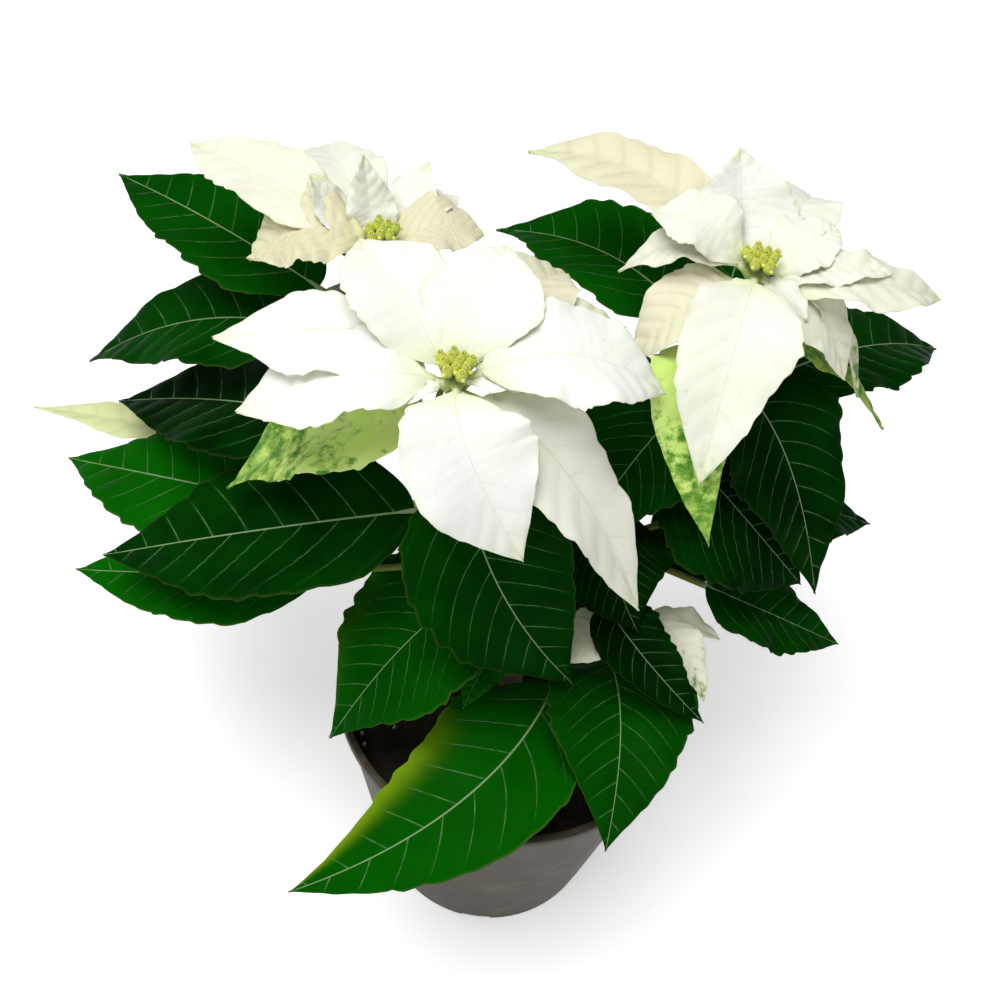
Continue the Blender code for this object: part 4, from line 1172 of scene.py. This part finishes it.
def smooth_line(line, steps):
    """Points read from a smooth curve through the line's own points."""
    points = [Vector(point) for point in line]
    padded = [points[0] * 2 - points[1], *points, points[-1] * 2 - points[-2]]
    result = []
    for index in range(1, len(padded) - 2):
        a, b, c, d = padded[index - 1 : index + 3]
        for step in range(steps):
            t = step / steps
            square = (2 * a - 5 * b + 4 * c - d) * t * t
            cube = (3 * b - a - 3 * c + d) * t**3
            result.append(0.5 * ((2 * b) + (c - a) * t + square + cube))
    return result + [points[-1]]


def make_stem(materials):
    """Trunk and branches joined into one skin, swollen where leaves grow, running up into the blooms."""
    past_fork = (*TRUNK_FORK[:2], TRUNK_FORK[2] + TRUNK_PAST_FORK)
    line = smooth_line((TRUNK_FOOT, *TRUNK_BENDS, past_fork), TRUNK_STEPS)
    radii = [TRUNK_RADIUS * (TRUNK_SWELL - TRUNK_TAPER * i) for i in range(len(line))]
    stem = add_object("woody_stem", tube_mesh(line, radii, TRUNK_SIDES))
    tubes = []
    for branch, (_, top, _, _) in BRANCHES.items():
        shares = [blade.share for blade in LEAVES if blade.branch == branch]
        line = smooth_line(branch_line(branch)[:BRANCH_POINTS], BRANCH_STEPS)
        cap = Vector(top)
        line += [cap, cap + Vector((0, 0, RECEPTACLE_HEIGHT * BRANCH_INTO_BLOOM))]
        radii = []
        for index in range(len(line)):
            share = index / (len(line) - 3)
            swell = sum(math.exp(-(((share - node) / KNOT_REACH) ** 2)) for node in shares)
            knotted = BRANCH_SLIM + KNOT_SWELL * min(swell, 1)
            radii.append(branch_radius(branch, min(share, 1)) * knotted)
        tubes.append(tube_mesh(line, radii, BRANCH_SIDES))
    join_meshes(stem.data, tubes)
    remesh = stem.modifiers.new("one skin", "REMESH")
    remesh.mode = "VOXEL"
    remesh.voxel_size = BARK_VOXEL * MM
    remesh.use_smooth_shade = True
    smooth = stem.modifiers.new("soft", "SMOOTH")
    smooth.iterations = BARK_SMOOTHING
    bake_modifiers(stem)
    dress(stem, materials["stem"])
    keep(stem, "stem", "stem")


def wall_radius(height):
    """Outer radius of the pot's tapered wall at a height above its base."""
    return POT_BASE_RADIUS + (POT_RIM_RADIUS - LIP_OUT - POT_BASE_RADIUS) * height / POT_HEIGHT


def turned(name, profile):
    """A body turned from a profile in millimetres."""
    mesh = bpy.data.meshes.new(name)
    edges = [(i, i + 1) for i in range(len(profile) - 1)]
    mesh.from_pydata([(r * MM, 0, h * MM) for r, h in profile], edges, [])
    obj = add_object(name, mesh)
    screw = obj.modifiers.new("turn", "SCREW")
    screw.steps = POT_STEPS
    screw.render_steps = POT_STEPS
    screw.use_merge_vertices = True
    screw.merge_threshold = WELD * MM
    return bake_modifiers(obj)


def arc(middle, radius, start, end, steps):
    """Points of an arc in the profile plane, angles in degrees from outwards, turning up."""
    turns = [math.radians(start + (end - start) * i / steps) for i in range(steps + 1)]
    return [(middle[0] + radius * math.cos(turn), middle[1] + radius * math.sin(turn)) for turn in turns]


def pot_profile():
    """The pot's outer skin from the rim down to the axis, and its inside from the axis up to the rim."""
    lip_foot = POT_HEIGHT - LIP_HEIGHT
    floor_top = FOOT_HEIGHT + FLOOR_THICK
    inner_rim = wall_radius(POT_HEIGHT) - POT_WALL
    inner_top = POT_HEIGHT - RIM_INNER_ROUND
    skin = arc((inner_rim + RIM_INNER_ROUND, inner_top), RIM_INNER_ROUND, 180, 90, 4)
    rim = (POT_RIM_RADIUS - RIM_OUTER_ROUND, POT_HEIGHT - RIM_OUTER_ROUND)
    skin += arc(rim, RIM_OUTER_ROUND, 90, 0, 5)
    skin += arc((POT_RIM_RADIUS - LIP_ROUND, lip_foot + LIP_ROUND), LIP_ROUND, 0, -90, 3)
    skin += [(wall_radius(lip_foot), lip_foot)]
    levels = [POT_HEIGHT * i / WALL_RINGS for i in range(WALL_RINGS - 1, 0, -1)]
    skin += [(wall_radius(level), level) for level in levels]
    skin += arc((POT_BASE_RADIUS - FOOT_ROUND, FOOT_ROUND), FOOT_ROUND, 0, -90, 4)
    foot = POT_BASE_RADIUS - FOOT_WIDTH
    skin += [(foot, 0), (foot - FOOT_LEAN, FOOT_HEIGHT), (0, FOOT_HEIGHT)]
    inside = [
        (0, floor_top),
        (wall_radius(floor_top) - POT_WALL - FLOOR_FILLET, floor_top),
        (wall_radius(floor_top + FLOOR_FILLET) - POT_WALL, floor_top + FLOOR_FILLET),
        (inner_rim, inner_top),
    ]
    return skin, inside


def make_pot(materials):
    """The moulded pot: rolled lip, smooth wall, notched foot ring, raised floor with drain holes."""
    outer, inner = pot_profile()
    skin = turned("grower_pot", outer)
    inside = turned("pot_inside", inner)
    join_meshes(skin.data, [inside.data])
    bpy.data.objects.remove(inside, do_unlink=True)
    cutters = bpy.data.collections.new("pot_cutters")
    bpy.context.scene.collection.children.link(cutters)
    for index in range(DRAIN_COUNT):
        turn = 2 * math.pi * index / DRAIN_COUNT
        place = Matrix.Translation(Vector((math.cos(turn), math.sin(turn), 0)) * DRAIN_RING * MM)
        cut = bmesh.new()
        bmesh.ops.create_cone(
            cut, cap_ends=True, segments=DRAIN_SIDES, radius1=DRAIN_RADIUS * MM,
            radius2=DRAIN_RADIUS * MM, depth=DRAIN_CUT * MM, matrix=place,
        )
        add_cutter(cut, "drain", cutters)
    for index in range(NOTCH_COUNT):
        turn = 2 * math.pi * (index + 0.5) / NOTCH_COUNT
        reach = POT_BASE_RADIUS - FOOT_WIDTH / 2
        place = Matrix.Rotation(turn, 4, "Z") @ Matrix.Translation((reach * MM, 0, 0))
        size = Matrix.Diagonal((4 * FOOT_WIDTH * MM, NOTCH_WIDTH * MM, 2 * NOTCH_HEIGHT * MM, 1))
        cut = bmesh.new()
        bmesh.ops.create_cube(cut, size=1, matrix=place @ size)
        add_cutter(cut, "notch", cutters)
    holes = skin.modifiers.new("holes", "BOOLEAN")
    holes.operand_type = "COLLECTION"
    holes.collection = cutters
    bake_modifiers(skin)
    for cutter in list(cutters.objects):
        bpy.data.objects.remove(cutter, do_unlink=True)
    bpy.data.collections.remove(cutters)
    skin.data.shade_smooth()
    skin.data.set_sharp_from_angle(angle=math.radians(SHARP_ANGLE))
    dress(skin, materials["pot"])
    keep(skin, "pot", "pot")


def add_cutter(shape, name, collection):
    collection.objects.link(bpy.data.objects.new(name, plain_mesh(shape, name)))


def grain_object(name, squash):
    """One angular grain that the scatter copies."""
    shape = bmesh.new()
    bmesh.ops.create_icosphere(shape, subdivisions=1, radius=1)
    random = np.random.default_rng(SEED)
    for vert in shape.verts:
        vert.co *= random.uniform(GRAIN_LEAST, GRAIN_MOST)
    bmesh.ops.scale(shape, vec=(MM, MM * GRAIN_WIDTH, MM * squash), verts=shape.verts)
    return bpy.data.objects.new(name, plain_mesh(shape, name))


def make_soil(materials, scatter):
    """The soil's lumpy surface with crumbs and perlite on it."""
    edge = wall_radius(SOIL_TOP) - POT_WALL - SOIL_CLEAR
    foot = FOOT_HEIGHT + FLOOR_THICK + GAP
    rises = [SOIL_CROWN * (1 - (i / SOIL_RINGS) ** 2) for i in range(SOIL_RINGS + 1)]
    profile = [(edge * i / SOIL_RINGS, SOIL_TOP + rise - SOIL_SINK) for i, rise in enumerate(rises)]
    profile += [(wall_radius(foot) - POT_WALL - SOIL_FOOT_CLEAR, foot), (0, foot)]
    soil = turned("potting_mix", profile)
    random = np.random.default_rng(SEED)
    waves = random.uniform(-1, 1, (LUMP_WAVES, 3)) * LUMP_SCALE
    shifts = random.uniform(0, 2 * math.pi, LUMP_WAVES)
    for vert in soil.data.vertices:
        if vert.co.z > (SOIL_TOP - LUMP_DEPTH) * MM and vert.co.xy.length < (edge - LUMP_MARGIN) * MM:
            lump = np.sin(waves @ np.array(vert.co) + shifts).sum() / math.sqrt(LUMP_WAVES)
            vert.co.z += LUMP_HEIGHT * MM * lump
    repair = bmesh.new()
    repair.from_mesh(soil.data)
    bmesh.ops.recalc_face_normals(repair, faces=repair.faces)
    repair.to_mesh(soil.data)
    repair.free()
    soil.data.shade_smooth()
    dress(soil, materials["soil"])
    for kind in GRAINS:
        copy = add_object(kind.name, soil.data.copy())
        values = {
            "Grain": grain_object(kind.name + "_grain", kind.squash),
            "Density": kind.density,
            "Smallest": kind.smallest,
            "Largest": kind.largest,
            "Seed": kind.seed,
            "Material": materials[kind.look],
        }
        keep(grow(copy, scatter, values), "soil")
    keep(soil, "soil", "soil")


def make_floor():
    shape = bmesh.new()
    bmesh.ops.create_grid(shape, x_segments=1, y_segments=1, size=FLOOR_SIDE / 2 * MM)
    mesh = plain_mesh(shape, "floor")
    mesh.materials.append(floor_material())
    add_object("floor", mesh)


def make_camera():
    """A camera at the photograph's place and turn."""
    data = bpy.data.cameras.new("camera")
    data.lens = CAMERA_LENS
    data.sensor_width = SENSOR_WIDTH
    data.clip_start = CLIP_START
    camera = add_object("camera", data)
    down = math.radians(CAMERA_DOWN)
    roll = math.radians(CAMERA_ROLL)
    ahead = Vector((0, math.cos(down), -math.sin(down)))
    level = Vector((1, 0, 0))
    above = level.cross(ahead)
    right = level * math.cos(roll) + above * math.sin(roll)
    up = above * math.cos(roll) - level * math.sin(roll)
    turn = Matrix((right, up, -ahead)).transposed().to_4x4()
    camera.matrix_world = Matrix.Translation(Vector(CAMERA_PLACE) * MM) @ turn
    bpy.context.scene.camera = camera


def add_light(name, place, aim, side, power):
    data = bpy.data.lights.new(name, "AREA")
    data.shape = "DISK"
    data.size = side
    data.energy = power
    light = add_object(name, data)
    light.location = place
    light.rotation_euler = (Vector(aim) - Vector(place)).to_track_quat("-Z", "Y").to_euler()


def make_light():
    """Plain soft studio light: a large source overhead, a weaker one in front and a pale surround."""
    for light in LIGHTS:
        add_light(*light)
    world = bpy.data.worlds.new("studio")
    bpy.context.scene.world = world
    world.use_nodes = True
    surround = world.node_tree.nodes["Background"]
    surround.inputs["Color"].default_value = WHITE
    surround.inputs["Strength"].default_value = SURROUND_STRENGTH
    bpy.context.scene.view_settings.view_transform = "Standard"
    bpy.context.scene.view_settings.look = "None"


def main():
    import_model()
    make_camera()
    make_light()
    make_floor()
    materials = {
        "leaf": leaf_material(),
        **{look: bract_material(*kind) for look, kind in BRACT_KINDS.items()},
        "cyathia": bud_material(),
        "stem": stem_material(),
        "pot": pot_material(),
        "soil": soil_material(),
        "perlite": perlite_material(),
    }
    relief_tree = vein_relief_tree()
    make_pot(materials)
    make_soil(materials, scatter_tree())
    make_stem(materials)
    make_leaves(materials, relief_tree)
    cluster = cluster_tree()
    bud = bpy.data.objects.new("bud", bud_mesh())
    for name, bloom in BLOOMS.items():
        make_bloom(name, bloom, materials, relief_tree)
        if bloom.buds:
            make_cyathia(name, bloom, materials, cluster, bud)


main()
